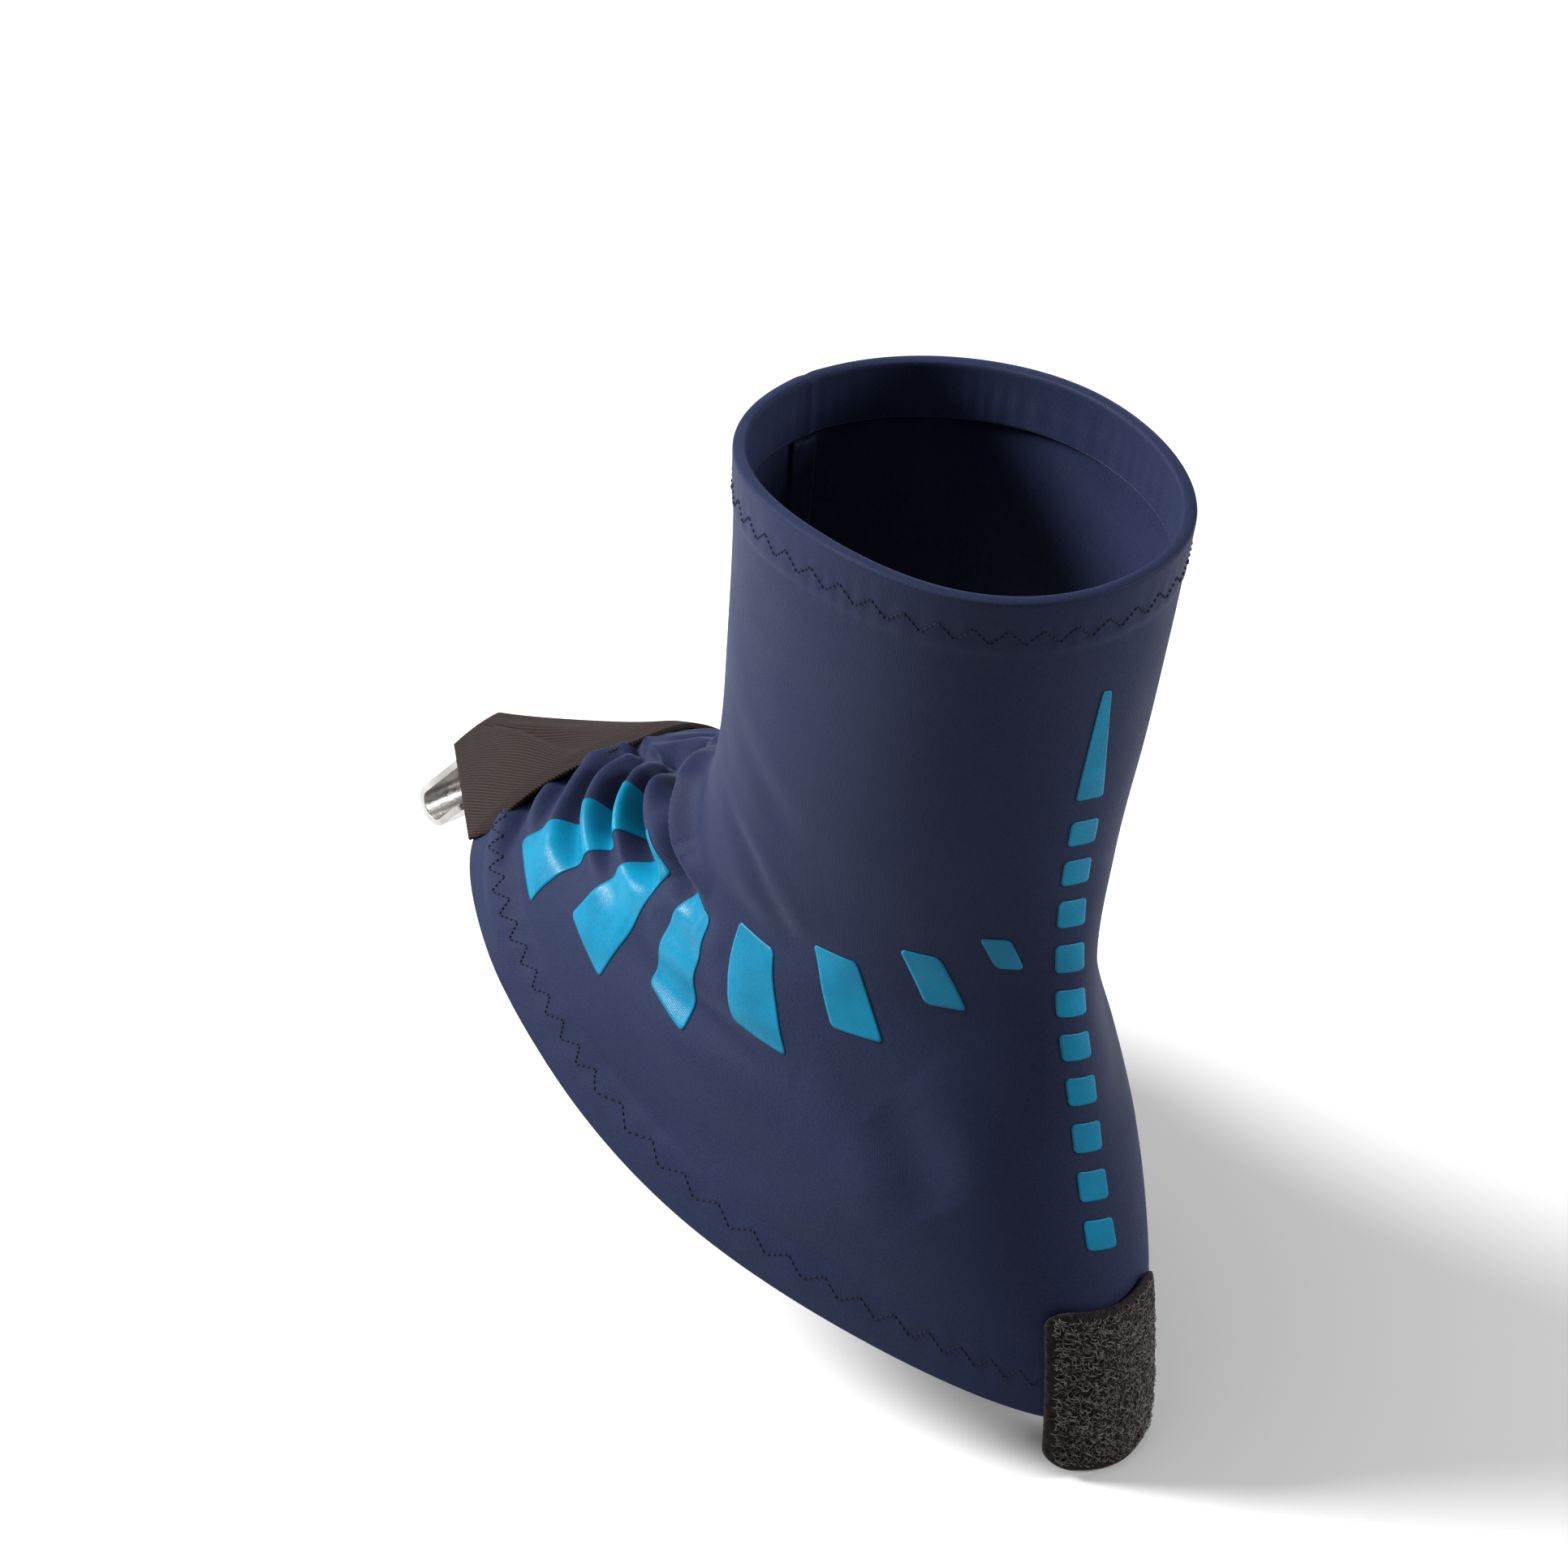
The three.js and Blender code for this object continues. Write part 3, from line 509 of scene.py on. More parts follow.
def twill_material():
    """Matt ribbed twill in a warm dark grey, with painted shade darkening the grooves between its
    ribs.
    """
    n = Nodes("ribbed_twill", (0.015, 0.011, 0.010), 0.95,
              Sheen_Weight=0.02, Sheen_Roughness=0.6, Specular_IOR_Level=0.05)
    ribs = n.stripes(0, 13)
    picks = n.stripes(1, 30, n.math("MULTIPLY", ribs, 3.0))
    weave = n.math("ADD", n.math("MULTIPLY", ribs, 0.7), n.math("MULTIPLY", picks, 0.3))
    fuzz = n.noise(1500, 4)
    # Colour by the weave: near black in the grooves between the ribs, lighter on them. This is the
    # weave's own pattern with painted shade in its grooves.
    weave_and_groove_shade = n.mix(weave, (0.0012, 0.0009, 0.0008), (0.027, 0.0180, 0.0165))
    n.color(n.mix(n.ramp(fuzz, 0.0, 0.25), weave_and_groove_shade, (0.0125, 0.0088, 0.0082)))
    n.bump(n.math("ADD", weave, n.math("MULTIPLY", fuzz, 0.7)), 0.8, 0.00030)
    return n.material


def webbing_material():
    """Near-black woven ribbon."""
    n = Nodes("woven_ribbon", (0.02, 0.018, 0.018), 0.88, Sheen_Weight=0.15)
    warp = n.stripes(0, 14)
    weft = n.stripes(1, 10)
    n.color(n.mix(weft, (0.010, 0.009, 0.009), (0.034, 0.030, 0.030)))
    n.bump(n.math("ADD", warp, weft), 0.7, 0.00025)
    return n.material


def tape_material():
    """Backing of the hook-and-loop tape."""
    n = Nodes("loop_tape", (0.007, 0.006, 0.006), 0.95, Sheen_Weight=0.06,
              Sheen_Tint=(0.6, 0.5, 0.45, 1), Specular_IOR_Level=0.10)
    specks = n.noise(1100, 5)
    n.color(n.mix(n.ramp(specks, 0, 1), (0.003, 0.0027, 0.003), (0.016, 0.0135, 0.013)))
    n.bump(specks, 0.9, 0.0006)
    return n.material


def fuzz_material():
    """Loops of the tape's pile, some of them paler."""
    n = Nodes("tape_fuzz", (0.03, 0.025, 0.024), 0.55, Sheen_Weight=0.1)
    n.color(n.mix(n.ramp(n.noise(700), 0, 1), (0.006, 0.005, 0.0055), (0.10, 0.08, 0.07)))
    return n.material


def label_material():
    """Plain grey satin label with nothing printed on it."""
    n = Nodes("satin_label", (0.22, 0.22, 0.22), 0.5, Sheen_Weight=0.1)
    n.color(n.mix(n.ramp(n.noise(260), 0, 1), (0.19, 0.19, 0.19), (0.25, 0.25, 0.25)))
    n.bump(n.stripes(1, 30), 0.3, 0.0001)
    return n.material


def steel_material():
    """Nickel-plated steel: fine tumbling scratches and a little grime in the worn spots."""
    n = Nodes("plated_steel", (0.42, 0.41, 0.39), 0.34, Metallic=1.0)
    scratches = n.noise(900, 4, stretch=(1, 6, 1))
    worn = n.noise(90, 3)
    n.color(n.mix(n.ramp(worn, 0, 1), (0.31, 0.30, 0.285), (0.50, 0.49, 0.47)))
    n.roughness(n.ramp(scratches, 0.22, 0.42))
    n.bump(scratches, 0.12, 0.00006)
    return n.material


KNIT = knit_material()
THREAD = thread_material()
ELASTIC = elastic_material()
FILM = film_material()
TWILL = twill_material()
WEBBING = webbing_material()
TAPE = tape_material()
FUZZ = fuzz_material()
LABEL = label_material()
STEEL = steel_material()


def finish_piece(obj, slot, body, *nodes):
    """Stands the piece in for its CAD nodes and lets it ride on its body."""
    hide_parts(*nodes)
    if body:
        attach(obj, body)
    return obj


# ---- sleeve -------------------------------------------------------------------------------

AROUND = 600                 # columns round the sleeve
ALONG = 250                  # rows down its outer face
ALONG_INSIDE = 110
TURN_IN = 0.6                # distance from an edge where the outer face turns into the fold


def hem_profile():
    """Distance from an edge and depth below the outer face, from the fold to the wall.

    The cloth runs over the fold, back up inside as the turned-in layer, round that layer's
    cut end, down inside the channel and out to the wall's inner face.
    """
    inner = CLOTH + HEM_HOLLOW
    deep = inner + CLOTH
    rows = [(TURN_IN * (1 - math.sin(a)), deep * (1 - math.cos(a)) / 2)
            for a in np.linspace(0.3, math.pi - 0.3, 8)]
    rows += [(d, deep) for d in np.linspace(1.2, HEM - 0.4, 12)]
    rows += [(HEM, deep - 0.15), (HEM, inner + 0.15), (HEM - 0.4, inner)]
    rows += [(d, inner) for d in np.linspace(HEM - 1.4, 1.6, 8)]
    rows += [(1.0, inner - 0.3), (FOLD, CLOTH + HEM_HOLLOW / 2), (1.0, CLOTH + 0.3)]
    rows += [(d, CLOTH) for d in np.linspace(1.6, HEM + 1.0, 10)]
    return rows


def sleeve():
    """The sleeve with its two turned-in hems, as one closed piece of cloth."""
    angles = np.linspace(0, TURN, AROUND, endpoint=False)
    first, last = from_cuff(TURN_IN, angles), from_hem(TURN_IN, angles)
    hem = hem_profile()
    rows = [(first + (last - first) * s, 0.0) for s in np.linspace(0, 1, ALONG)]
    rows += [(from_hem(d, angles), -depth) for d, depth in hem]
    low, high = from_hem(HEM + 1.0, angles), from_cuff(HEM + 1.0, angles)
    rows += [(low + (high - low) * s, -CLOTH) for s in np.linspace(0, 1, ALONG_INSIDE)[1:-1]]
    rows += [(from_cuff(d, angles), -depth) for d, depth in reversed(hem)]
    t = np.array([r[0] for r in rows])
    depth = np.array([np.full(AROUND, r[1]) for r in rows])
    loops = on_cloth(t, angles[None], depth)
    closed = np.concatenate([loops, loops[:, :1]], axis=1)
    closed = np.concatenate([closed, closed[:1]], axis=0)
    obj = ring("sleeve_cloth", loops, KNIT, surface_uv(closed))
    return finish_piece(obj, "stretch_cloth", "sleeve", "body_panel")


ELASTIC_NEAR, ELASTIC_FAR = 2.2, 9.7                    # its edges, from the fold of the hem
ELASTIC_HIGH, ELASTIC_LOW = CLOTH + 0.2, CLOTH + 1.1    # its faces, below the outer cloth


def elastic(name, node, edge):
    """A closed band of elastic lying in a hem's pocket."""
    angles = np.linspace(0, TURN, AROUND // 2, endpoint=False)
    rows = [(d, ELASTIC_HIGH) for d in np.linspace(ELASTIC_NEAR, ELASTIC_FAR, 9)]
    rows += [(d, ELASTIC_LOW) for d in np.linspace(ELASTIC_FAR, ELASTIC_NEAR, 9)]
    distance = np.array([r[0] for r in rows])[:, None]
    depth = np.array([r[1] for r in rows])[:, None] + 0 * angles[None]
    t = edge(distance, angles[None])
    loops = on_cloth(t, angles[None], -depth)
    closed = np.concatenate([loops, loops[:, :1]], axis=1)
    closed = np.concatenate([closed, closed[:1]], axis=0)
    obj = ring(name, loops, ELASTIC, surface_uv(closed))
    return finish_piece(obj, "elastic", "sleeve", node)


def front_seam():
    """Overlocked allowance of the seam that closes the sleeve up the front, inside it."""
    share, across = np.meshgrid(np.linspace(0, 1, 90), np.linspace(-1, 1, 9), indexing="ij")
    t = between((from_cuff(HEM + 2, 0.0), from_hem(HEM + 2, 0.0)), share)
    angle = across * SEAM_WIDTH / 2 / directions(t, 0.0)[2]
    top = on_cloth(t, angle, -CLOTH - 0.1)
    bottom = on_cloth(t, angle, -CLOTH - 0.9 + 0.25 * across**2)
    obj = sheet_mesh("front_seam_allowance", top, bottom, KNIT, surface_uv(top))
    return finish_piece(obj, "sewing_thread", "sleeve", "front_seam")


def tubes(name, paths, out, radius, sides, material):
    """Many short threads as one mesh: paths[k] is a row of points, out[k] its outward side."""
    count, length = paths.shape[:2]
    ahead = np.gradient(paths, axis=1)
    ahead /= np.linalg.norm(ahead, axis=-1, keepdims=True)
    side = np.cross(ahead, out)
    side /= np.linalg.norm(side, axis=-1, keepdims=True)
    up = np.cross(side, ahead)
    around = np.linspace(0, TURN, sides, endpoint=False)
    taper = np.ones(length)
    taper[0] = taper[-1] = 0.25
    ring_points = (
        paths[:, :, None]
        + (up[:, :, None] * np.cos(around)[None, None, :, None]
           + side[:, :, None] * np.sin(around)[None, None, :, None])
        * (radius * taper)[None, :, None, None]
    )
    one, _ = grid_faces(length, sides, wrap_cols=True)
    faces = (one[None] + (np.arange(count) * length * sides)[:, None, None]).reshape(-1, 4)
    points = ring_points.reshape(-1, 3)
    return mesh_object(name, points, faces, material)


ZIGZAG = 6.5                 # length of one zigzag along the edge
ZIGZAG_HEIGHT = 3.2          # across the row of stitching
STITCHES_A_LEG = 4
THREAD_RADIUS = 0.17


def zigzag_row(name, edge, node):
    """Multi-step zigzag stitching round a hem: each leg is a run of short stitches.

    Each stitch rises out of its hole and dips back before the next one.
    """
    angles = np.linspace(0, TURN, 721)
    girth = directions(0.0 if edge is from_cuff else 1.0, angles)[2].mean() * TURN
    legs = 2 * round(girth / ZIGZAG)
    holes = np.arange(legs * STITCHES_A_LEG + 1) / STITCHES_A_LEG
    swing = np.abs((holes % 2) - 1) - 0.5
    distance = STITCH_ROW + swing * ZIGZAG_HEIGHT
    turn = holes * TURN / legs
    run = np.linspace(0.18, 0.82, 6)
    along = distance[:-1, None] + np.diff(distance)[:, None] * run
    angle = turn[:-1, None] + np.diff(turn)[:, None] * run
    height = 0.22 * np.sin(np.pi * run) ** 0.7 - 0.12
    t = edge(along, angle)
    paths = on_cloth(t, angle, height[None] + 0 * angle)
    out = directions(t, angle)[0]
    obj = tubes(name, paths, out, THREAD_RADIUS, 6, THREAD)
    return finish_piece(obj, "sewing_thread", "sleeve", node)


GRIP_ANGLE = 95              # degrees round from the front seam
GRIP_LENGTH, GRIP_WIDTH = 30, 9
LABEL_ANGLE = -150           # on the inner side, towards the heel
LABEL_WIDTH, LABEL_HEIGHT = 18, 15


def grip_patch(name, side, node):
    """Hook tape inside the lower hem, against the shoe's collar."""
    middle = side * math.radians(GRIP_ANGLE)
    u, v = np.meshgrid(np.linspace(0, 1, 12), np.linspace(-1, 1, 36), indexing="ij")
    angle = middle + v * GRIP_LENGTH / 2 / directions(from_hem(5.0, middle), middle)[2]
    t = from_hem(1.6 + GRIP_WIDTH * u, angle)
    deep = 2 * CLOTH + HEM_HOLLOW + 0.12
    round_edge = 0.35 * np.maximum(np.abs(2 * u - 1) ** 8, np.abs(v) ** 14)
    top = on_cloth(t, angle, -deep)
    bottom = on_cloth(t, angle, -deep - 1.0 + round_edge)
    obj = sheet_mesh(name, top, bottom, TAPE, surface_uv(top))
    return finish_piece(obj, "grip_tape", "sleeve", node)


def care_label():
    """Satin label sewn into the cuff's hem, its free end lifting a little off the wall."""
    u, v = np.meshgrid(np.linspace(0, 1, 22), np.linspace(-1, 1, 24), indexing="ij")
    middle = math.radians(LABEL_ANGLE)
    angle = middle + v * LABEL_WIDTH / 2 / directions(0.0, middle)[2]
    t = from_cuff(HEM - 1.0 + LABEL_HEIGHT * u, angle)
    lift = CLOTH + 0.35 + 0.9 * u**2 + 0.15 * np.sin(5 * v + 2 * u) * u + 1.2 * np.exp(-u / 0.06)
    top = on_cloth(t, angle, -lift)
    bottom = on_cloth(t, angle, -lift - 0.22)
    obj = sheet_mesh("care_label_satin", top, bottom, LABEL, surface_uv(top))
    return finish_piece(obj, "label", "sleeve", "care_label")


sleeve_cloth = sleeve()
cuff_band = elastic("cuff_hem_elastic", "cuff_elastic", from_cuff)
lower_band = elastic("lower_hem_elastic", "lower_elastic", from_hem)
seam = front_seam()
cuff_row = zigzag_row("cuff_zigzag", from_cuff, "cuff_hem_thread")
lower_row = zigzag_row("lower_zigzag", from_hem, "lower_hem_thread")
outer_grip = grip_patch("outer_grip_tape", 1, "outer_grip_patch")
inner_grip = grip_patch("inner_grip_tape", -1, "inner_grip_patch")
label = care_label()

# ---- bonded film --------------------------------------------------------------------------

FILM_LOW, FILM_HIGH = 0.01, 0.16     # its two faces, above the cloth

# The outer side's row of bars. Each pair is for the bar at the instep and the one at the heel.
SIDE_BARS = 7
BAR_ANGLE = (0.66, 2.68)             # radians round from the front seam
BAR_STATION = (0.785, 0.475)
ROW_CURVE = 0.9                      # under 1 makes the row climb soonest at the instep
BAR_HEIGHT = (33, 7)
BAR_TURN = (0.2625, 0.1575)          # width, in radians round the sleeve
BAR_LEAN = 0.16                      # the tallest bar's, in radians at either end
BAR_CORNER = 1.1

# The row down the back: a blade that widens downwards, then the dashes.
BLADE_TOP, BLADE_HEIGHT, BLADE_POINT = 25, 24, 2
BACK_DASHES = 10
DASH_TOP, DASH_PITCH, DASH_HEIGHT = 54, 9.2, 5.6
BACK_WIDTH = 6.6
BACK_SLANT = 0.24                    # millimetres down for each millimetre across
BACK_CORNER = 0.9


def corner_round(u, v, height, width, radius):
    """Pulls the corners of a height x width rectangle of places (-1 to 1) into rounds."""
    y, x = u * height / 2, v * width / 2
    inner_y, inner_x = height / 2 - radius, width / 2 - radius
    over_y = np.maximum(np.abs(y) - inner_y, 0)
    over_x = np.maximum(np.abs(x) - inner_x, 0)
    length = np.hypot(over_y, over_x)
    box = np.maximum(over_y, over_x)
    shrink = np.where(length > 1e-9, box / np.maximum(length, 1e-9), 1)
    y = np.sign(y) * (np.minimum(np.abs(y), inner_y) + over_y * shrink)
    x = np.sign(x) * (np.minimum(np.abs(x), inner_x) + over_x * shrink)
    return y, x


def film_piece(name, node, t, angle):
    """A piece of film bonded to the cloth over a grid of places."""
    top = on_cloth(t, angle, FILM_HIGH)
    bottom = on_cloth(t, angle, FILM_LOW)
    obj = sheet_mesh(name, top, bottom, FILM, surface_uv(top))
    return finish_piece(obj, "film", "sleeve", node)


def side_bar(index):
    """One leaning bar of the outer side's row, tall at the instep and short at the heel."""
    share = index / (SIDE_BARS - 1)
    angle = between(BAR_ANGLE, share)
    station = between(BAR_STATION, share**ROW_CURVE)
    height = between(BAR_HEIGHT, share)
    _, down, turn = directions(station, angle)
    width = between(BAR_TURN, share) * turn
    rows, cols = max(int(height * 2), 20), max(int(width * 2), 14)
    u, v = np.meshgrid(np.linspace(-1, 1, rows), np.linspace(-1, 1, cols), indexing="ij")
    y, x = corner_round(u, v, height, width, BAR_CORNER)
    return film_piece(
        f"side_bar_{index + 1}", f"side_film_{index + 1}",
        station + y / down,
        angle + x / turn + BAR_LEAN * 2 * y / BAR_HEIGHT[0],
    )


def back_piece(name, node, top, height, top_width=BACK_WIDTH):
    """A piece of the row down the back. Its top is this far from the cuff's edge."""
    rows, cols = max(int(height * 2.5), 16), 16
    u, v = np.meshgrid(np.linspace(-1, 1, rows), np.linspace(-1, 1, cols), indexing="ij")
    y, x = corner_round(u, v, height, BACK_WIDTH, BACK_CORNER)
    x = x * between((top_width / BACK_WIDTH, 1), (u + 1) / 2)
    at = (top + height / 2 + y) / directions(0.0, math.pi)[1]
    _, down, turn = directions(at, math.pi)
    return film_piece(name, node, at + BACK_SLANT * x / down, math.pi + x / turn)


for bar in range(SIDE_BARS):
    side_bar(bar)
back_piece("back_blade", "back_film_blade", BLADE_TOP, BLADE_HEIGHT, BLADE_POINT)
for dash in range(BACK_DASHES):
    back_piece(f"back_dash_{dash + 1}", f"back_film_{dash + 1}",
               DASH_TOP + DASH_PITCH * dash, DASH_HEIGHT)

# ---- toe tab ------------------------------------------------------------------------------

TAB_TIP = np.array([-5.0, -164.0, -134.8])
TAB_TIP_WIDTH = 15.0
TAB_SKEW = 0.3               # the tip's turn about the vertical, in radians
TAB_THICK = 1.0
TAB_HALF_ANGLE = 34          # half the sewn edge, in degrees round the sleeve
TAB_BACK = (24, 5.8)         # the sewn edge above the lower edge, at its middle and its ends
TAB_STRIP = 5.8              # depth of the sewn strip
TAB_LIFT = (1.40, 1.65)      # top face above the smooth sleeve, at its rear and at the fold
TAB_ARCH = 0.5               # how high its middle stands above a straight line to the tip
TAB_CURL = 0.567             # how far the tip's two corners turn up

# Folds down the free part: height, place across it, how far that place moves by the tip,
# width, and the power that shapes how the fold fades at its two ends.
TAB_FOLDS = [
    (-2.6, 0.60, -0.12, 0.055, 0.8),
    (1.6, 0.74, -0.16, 0.09, 1.0),
    (-1.4, 0.25, 0.0, 0.14, 1.0),
]


def tab_edge(v, forward):
    """Station and angle on the tab's sewn edge, moved forward along the cloth."""
    across = 2 * v - 1
    angle = across * math.radians(TAB_HALF_ANGLE)
    return from_hem(between(TAB_BACK, across**2) - forward, angle), angle


def tab_top(u, v):
    """Top face of the tab: u is -1 to 0 on the sewn strip, then 0 to 1 to the tip."""
    across = 2 * v - 1
    sewn = np.minimum(u, 0)
    free = np.maximum(u, 0)
    t, angle = tab_edge(v, TAB_STRIP * (1 + sewn))
    out, _, _ = directions(t, angle)
    rear = smooth_sleeve(t, angle) + out * between(TAB_LIFT, 1 + sewn)[..., None]
    tip = np.stack([
        TAB_TIP[0] + across * TAB_TIP_WIDTH * math.cos(TAB_SKEW) / 2,
        TAB_TIP[1] + across * TAB_TIP_WIDTH * math.sin(TAB_SKEW) / 2,
        TAB_TIP[2] - 1.2 * across**2,
    ], axis=-1)
    points = rear + (tip - rear) * free[..., None]
    arch = TAB_ARCH * np.sin(np.pi * free) * (1 - across**2)
    curl = TAB_CURL * np.exp(-((1 - free) / 0.10)) * across**2 * np.sign(free)
    points[..., 2] += arch + curl
    for height, place, shift, width, power in TAB_FOLDS:
        fade = np.sin(np.pi * free) ** power
        points[..., 2] += height * fade * np.exp(-(((v - place - shift * free) / width) ** 2))
    return points


def grid_normals(points):
    """Upward normals of a grid of points."""
    down = np.gradient(points, axis=0)
    side = np.gradient(points, axis=1)
    normal = np.cross(side, down)
    normal /= np.linalg.norm(normal, axis=-1, keepdims=True)
    return normal * np.sign(normal[..., 2:3].mean())


def tab_layer(name, material, nodes, high, low, rows, cols, first, inset):
    """One ply of the tab between two depths under its top face, with softened edges."""
    u, v = np.meshgrid(np.linspace(first, 1 - inset, rows), np.linspace(inset, 1 - inset, cols),
                       indexing="ij")
    top = tab_top(u, v)
    normal = grid_normals(top)
    edge = np.maximum(np.abs(2 * v - 1) ** 40, np.clip(u, 0, 1) ** 60) * 0.3 * (low - high)
    upper = top - normal * (high + edge)[..., None]
    lower = top - normal * (low - edge)[..., None]
    obj = sheet_mesh(name, upper, lower, material, surface_uv(top))
    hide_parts(*nodes)
    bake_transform(obj)
    return obj


tab_outer = tab_layer("toe_tab_twill", TWILL, ["toe_tab_base", "toe_tab_outer"],
                      high=0.0, low=TAB_THICK, rows=110, cols=90, first=-1.0, inset=0.0)
tab_lining = tab_layer("toe_tab_backing", WEBBING, ["toe_tab_lining"],
                       high=TAB_THICK + 0.05, low=TAB_THICK + 0.5, rows=50, cols=40,
                       first=0.04, inset=0.035)

# ---- lace hook and its webbing ------------------------------------------------------------

JOINTS = {joint["name"]: joint for joint in frame["joints"]}
BAR = np.array(JOINTS["lace_hook_swing"]["pos_m"]) / MM
HOOK_PITCH = math.radians(-45)
HOOK_THICK = 1.4
HOOK_LENGTH = 21.5           # from the bar to the outside of the bend
HOOK_THROAT = 6.2
HOOK_EDGE = 0.32             # rounding of its edges

# Distances from the bar of the points along the plate, back from the bend of those along
# the lip, and across the strip. The slot for the ribbon lies between three of them.
PLATE = [-0.8, -0.5, 0.4, 0.8, 1.2, 3.4, 3.8, 4.2, 7, 10, 13]
LIP = [2.5, 5.5, 8.0, 9.2, 9.8, 10.0]
STRIP = [-6.5, -6.2, -5.6, -5.0, -4.8, -2.4, 0, 2.4, 4.8, 5.0, 5.6, 6.2, 6.5]
SLOT_NEAR, SLOT_FAR, SLOT_HALF = 0.8, 4.2, 4.8
PLATE_END = 0.9                          # widths at the strip's two ends, as shares of its own
LIP_END = (0.985, 0.93, 0.82)

RIBBON_WIDTH, RIBBON_THICK = 8.6, 0.9
RIBBON_TURN = 1.86           # radius of its middle round the bar


def across_foot(path, width_places, pitch):
    """Points for a flat path [forward, up] about the hook's bar, at each place across."""
    forward, up = np.asarray(path, float).T
    y = forward * math.cos(pitch) - up * math.sin(pitch)
    z = forward * math.sin(pitch) + up * math.cos(pitch)
    x = np.broadcast_to(width_places, (len(y), np.shape(width_places)[-1]))
    y, z = (np.broadcast_to(place[:, None], x.shape) for place in (-y, z))
    return np.stack([x, y, z], axis=-1) + BAR


def hook_webbing():
    """Ribbon folded round the hook's bar, its ends sewn together under the tab."""
    upper = [(back, RIBBON_TURN) for back in (-11, -7, -3)]
    turn = [(RIBBON_TURN * math.sin(a), RIBBON_TURN * math.cos(a))
            for a in np.linspace(0, math.pi, 9)]
    lower = [(-2.6, -1.3), (-6.6, 0.62), (-11, 0.62)]
    path = curve_through(upper + turn + lower, 90)
    ahead = np.gradient(path, axis=0)
    ahead /= np.linalg.norm(ahead, axis=1, keepdims=True)
    normal = np.stack([-ahead[:, 1], ahead[:, 0]], axis=1)
    places = np.linspace(-RIBBON_WIDTH / 2, RIBBON_WIDTH / 2, 22)
    top = across_foot(path + normal * RIBBON_THICK / 2, places, tab_slope())
    bottom = across_foot(path - normal * RIBBON_THICK / 2, places, tab_slope())
    obj = sheet_mesh("hook_loop_ribbon", top, bottom, WEBBING, surface_uv(top))
    return finish_piece(obj, "webbing", "toe_tab", "hook_webbing")


def tab_slope():
    """Slope of the tab near its tip, in radians."""
    near, tip = tab_top(np.array([0.7, 0.999]), np.array([0.5, 0.5]))
    return math.atan2(tip[2] - near[2], near[1] - tip[1])


def lace_hook():
    """Formed steel strip: slotted plate, round bend and lip."""
    radius = (HOOK_THROAT + HOOK_THICK) / 2
    bend = HOOK_LENGTH - HOOK_THROAT / 2 - HOOK_THICK
    plate = [(place, 0.0) for place in PLATE + [bend]]
    arc = [(bend + radius * math.sin(a), radius * (math.cos(a) - 1))
           for a in np.linspace(0, math.pi, 25)[1:]]
    lip = [(bend - place, -2 * radius) for place in LIP]
    path = plate + arc + lip
    points = across_foot(path, STRIP, HOOK_PITCH)
    narrow = np.ones(len(path))
    narrow[0], narrow[-3:] = PLATE_END, LIP_END
    points[..., 0] = BAR[0] + (points[..., 0] - BAR[0]) * narrow[:, None]
    faces, corners = grid_faces(len(path), len(STRIP))
    row, col = corners[0]
    slot = (row >= PLATE.index(SLOT_NEAR)) & (row < PLATE.index(SLOT_FAR))
    slot &= (col >= STRIP.index(-SLOT_HALF)) & (col < STRIP.index(SLOT_HALF))
    obj = mesh_object("steel_hook", points.reshape(-1, 3), faces[~slot], STEEL)
    shell = obj.modifiers.new("thickness", "SOLIDIFY")
    shell.thickness = HOOK_THICK * MM
    shell.offset = 0
    edges = obj.modifiers.new("edges", "BEVEL")
    edges.width = HOOK_EDGE * MM
    edges.segments = 3
    edges.limit_method = "ANGLE"
    edges.angle_limit = math.radians(40)
    return finish_piece(obj, "steel", "lace_hook", "lace_hook")


hook_webbing()
lace_hook()

# ---- heel tape ----------------------------------------------------------------------------

TAPE_HALF = 12.5             # half its width
TAPE_RISE = 25.0             # its height on the heel, above the lower edge
TAPE_DROP = 11.0             # its free length below that edge
TAPE_CORNER = 4.5
TAPE_FACE, TAPE_BACK = 1.65, 0.62    # its two faces, above the cloth
TAPE_LEAN = 0.05             # how far the free end leans to the toes for each millimetre down
PILE_LOOPS = 2600
PILE_RADIUS = 0.075
PILE_END_RIM, PILE_SIDE_RIM = 1.4, 1.6     # bare rims round the pile


def tape_point(height, across, lift):
    """Place on the tape: height above the hem, millimetres across, lift off the cloth."""
    station = from_hem(np.maximum(height, 0), math.pi)
    angle = math.pi - across / directions(station, math.pi)[2]
    t = from_hem(np.maximum(height, 0), angle)
    out, _, _ = directions(t, angle)
    points = smooth_sleeve(t, angle) + out * np.asarray(lift)[..., None]
    hang = np.minimum(height, 0)
    points[..., 2] += hang
    points[..., 1] += TAPE_LEAN * hang
    return points


def heel_tape():
    """One strip of loop tape: its upper part sewn to the heel, its lower end free."""
    u, v = np.meshgrid(np.linspace(-1, 1, 84), np.linspace(-1, 1, 60), indexing="ij")
    y, x = corner_round(u, v, TAPE_RISE + TAPE_DROP, 2 * TAPE_HALF, TAPE_CORNER)
    height = y + (TAPE_RISE - TAPE_DROP) / 2
    rim = np.maximum(np.abs(u) ** 30, np.abs(v) ** 24)
    top = tape_point(height, x, TAPE_FACE - 0.35 * rim + 0.05 * np.sin(9 * v + 4 * u))
    bottom = tape_point(height, x, TAPE_BACK + 0.15 * rim)
    obj = sheet_mesh("heel_loop_tape", top, bottom, TAPE, surface_uv(top))
    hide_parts("heel_tape_upper", "heel_tape_lower")
    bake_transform(obj)
    return obj


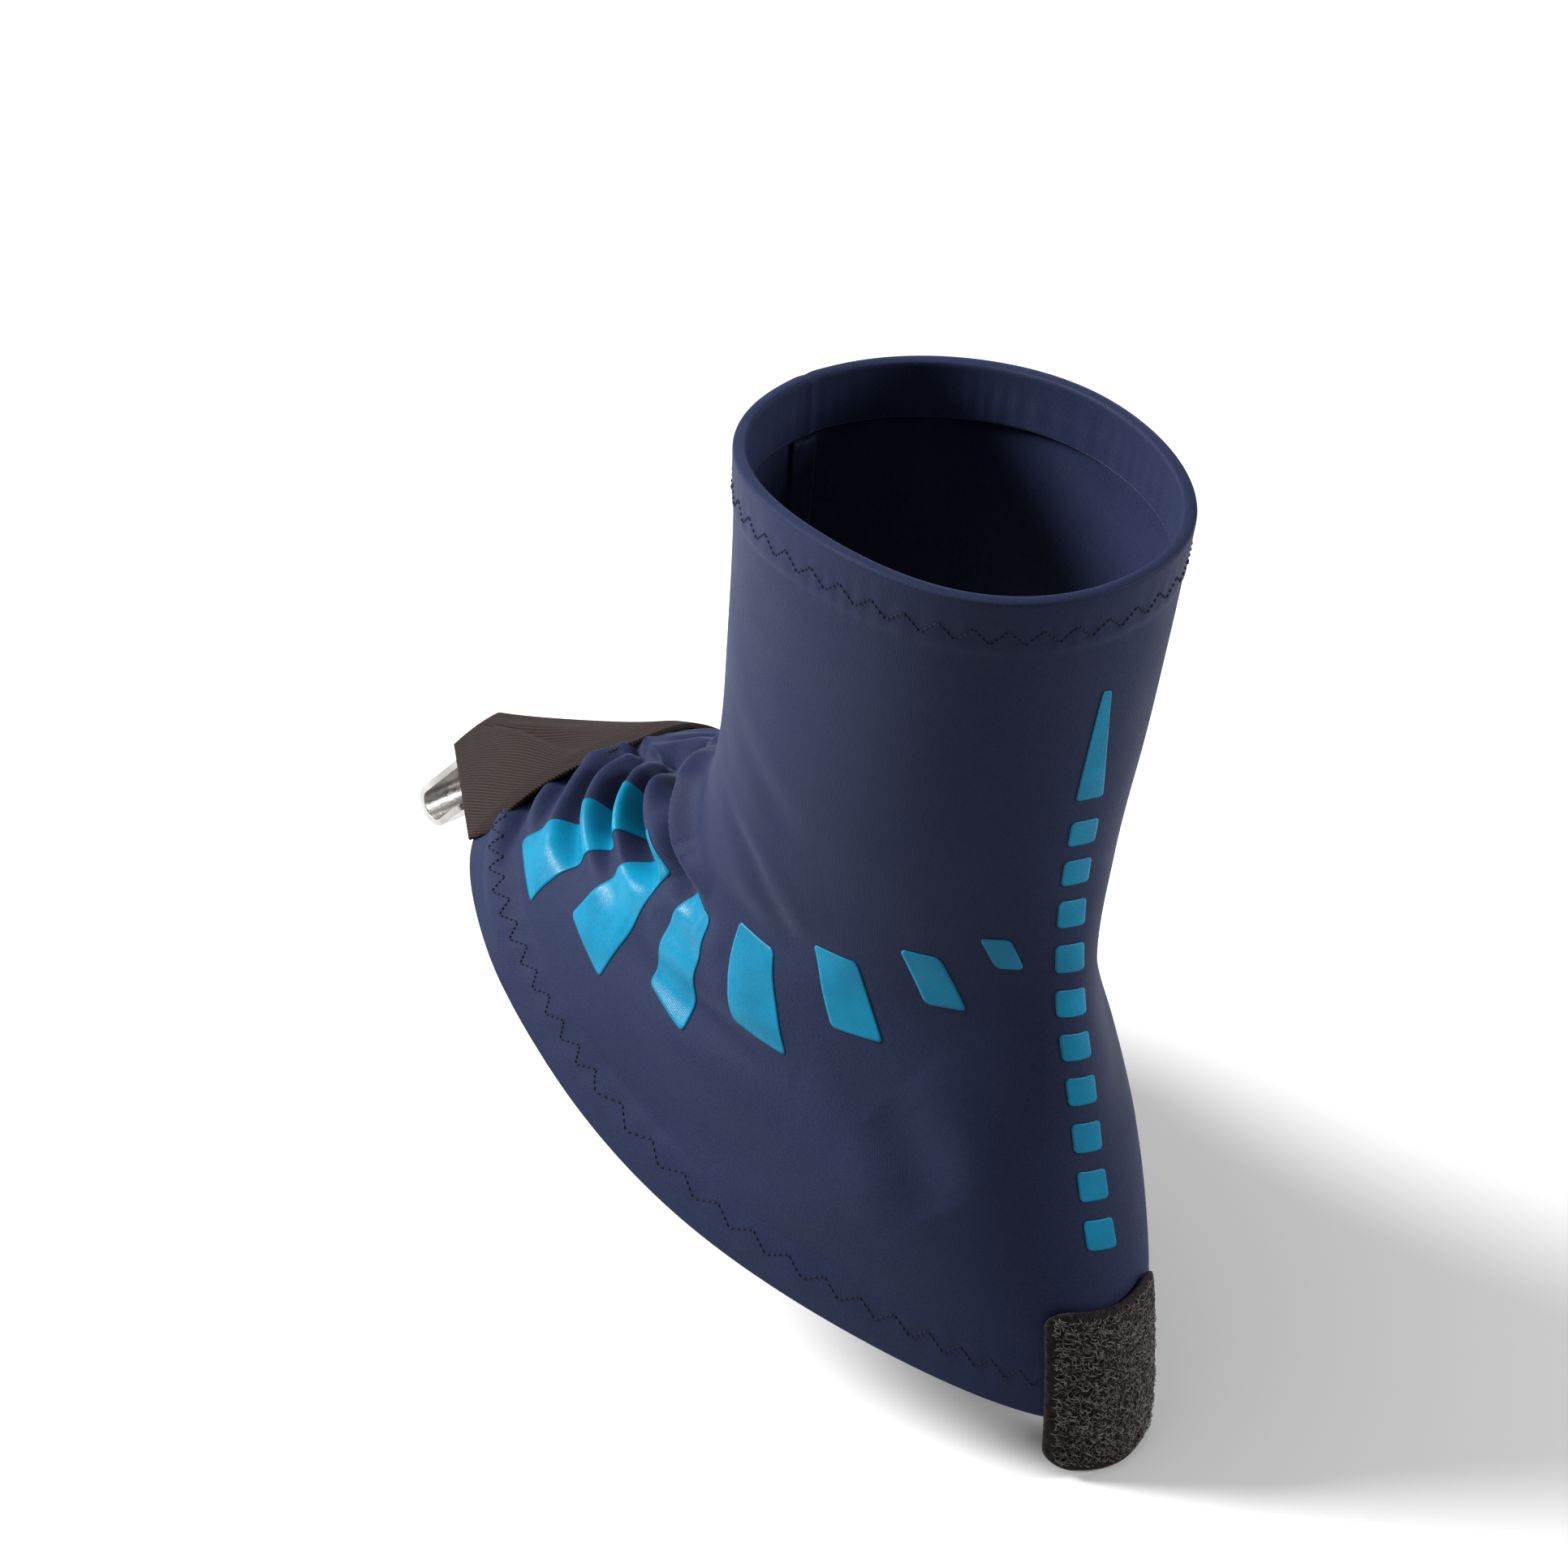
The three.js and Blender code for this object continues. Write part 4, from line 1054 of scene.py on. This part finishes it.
def tape_fuzz():
    """Small loops of the tape's pile, standing off its face at random."""
    height = rng.uniform(-TAPE_DROP + PILE_END_RIM, TAPE_RISE - PILE_END_RIM, PILE_LOOPS)
    across = rng.uniform(-TAPE_HALF + PILE_SIDE_RIM, TAPE_HALF - PILE_SIDE_RIM, PILE_LOOPS)
    facing = rng.uniform(0, TURN, PILE_LOOPS)
    size = rng.uniform(0.22, 0.48, PILE_LOOPS)
    a = np.linspace(-0.2, math.pi + 0.2, 7)
    reach = size[:, None] * np.cos(a)
    h = height[:, None] + reach * np.sin(facing)[:, None] * 1.5
    w = across[:, None] + reach * np.cos(facing)[:, None] * 1.5
    rise = 1.55 + size[:, None] * 1.25 * np.maximum(np.sin(a), -0.2)
    paths = tape_point(h, w, rise)
    out = np.broadcast_to(np.array([0.05, 1.0, 0.1]), paths.shape)
    obj = tubes("heel_tape_pile", paths, out, PILE_RADIUS, 4, FUZZ)
    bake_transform(obj)
    return obj


tape = heel_tape()
pile = tape_fuzz()

# ---- stage and lights ---------------------------------------------------------------------

FLOOR_GAP = 0.4
FLOOR_HALF = 4000
WORLD_STRENGTH = 0.28
LAMPS_AIM = Vector((0, -0.04, -0.09))


def floor():
    """Matt floor just under the gaiter, wide enough to reach the horizon."""
    material = bpy.data.materials.new("floor")
    material.use_nodes = True
    shader = material.node_tree.nodes["Principled BSDF"]
    shader.inputs["Base Color"].default_value = (0.50, 0.50, 0.50, 1)
    shader.inputs["Roughness"].default_value = 0.9
    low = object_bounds()[0][2] / MM - FLOOR_GAP
    corners = ((-1, -1), (1, -1), (1, 1), (-1, 1))
    points = [(x * FLOOR_HALF, y * FLOOR_HALF, low) for x, y in corners]
    mesh_object("floor", points, [(0, 1, 2, 3)], material)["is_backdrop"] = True


def lamp(name, azimuth, elevation, distance, size, power):
    """Soft area light round the gaiter; azimuth 0 is at the toes and 90 on the outer side."""
    data = bpy.data.lights.new(name, "AREA")
    data.shape = "DISK"
    data.size = size
    data.energy = power
    obj = bpy.data.objects.new(name, data)
    a, e = math.radians(azimuth), math.radians(elevation)
    away = Vector((math.sin(a) * math.cos(e), -math.cos(a) * math.cos(e), math.sin(e)))
    obj.location = LAMPS_AIM + away * distance
    obj.rotation_mode = "QUATERNION"
    obj.rotation_quaternion = (-away).to_track_quat("-Z", "Y")
    bpy.context.scene.collection.objects.link(obj)


def studio():
    """White surroundings and three soft lamps, so that the lit side faces the camera's left."""
    bpy.context.scene.view_settings.view_transform = "Standard"
    world = bpy.data.worlds.new("studio")
    world.use_nodes = True
    background = world.node_tree.nodes["Background"]
    background.inputs["Color"].default_value = (1, 1, 1, 1)
    background.inputs["Strength"].default_value = WORLD_STRENGTH
    bpy.context.scene.world = world
    lamp("key", azimuth=42, elevation=34, distance=1.2, size=0.45, power=49)
    lamp("rim", azimuth=232, elevation=22, distance=1.2, size=0.45, power=18)
    lamp("top", azimuth=100, elevation=84, distance=1.3, size=0.9, power=5)


floor()
studio()

# ---- the end ------------------------------------------------------------------------------

# The photograph's camera, as solved from the gaiter's edges and the shoe's sole.
EYE = Vector((648.15, 808.07, 597.74)) * MM
LOOK = Vector((-0.50668, -0.67308, -0.53874))
UP = Vector((-0.33291, -0.42368, 0.84242))
LENS = 155.3


def camera():
    """The camera that took the photograph."""
    data = bpy.data.cameras.new("camera")
    data.lens = LENS
    data.sensor_width = 36
    data.clip_start = 0.05
    obj = bpy.data.objects.new("camera", data)
    right = LOOK.cross(UP)
    obj.matrix_world = Matrix.LocRotScale(
        EYE, Matrix((right, UP, -LOOK)).transposed().to_quaternion(), None)
    bpy.context.scene.collection.objects.link(obj)
    bpy.context.scene.camera = obj


camera()
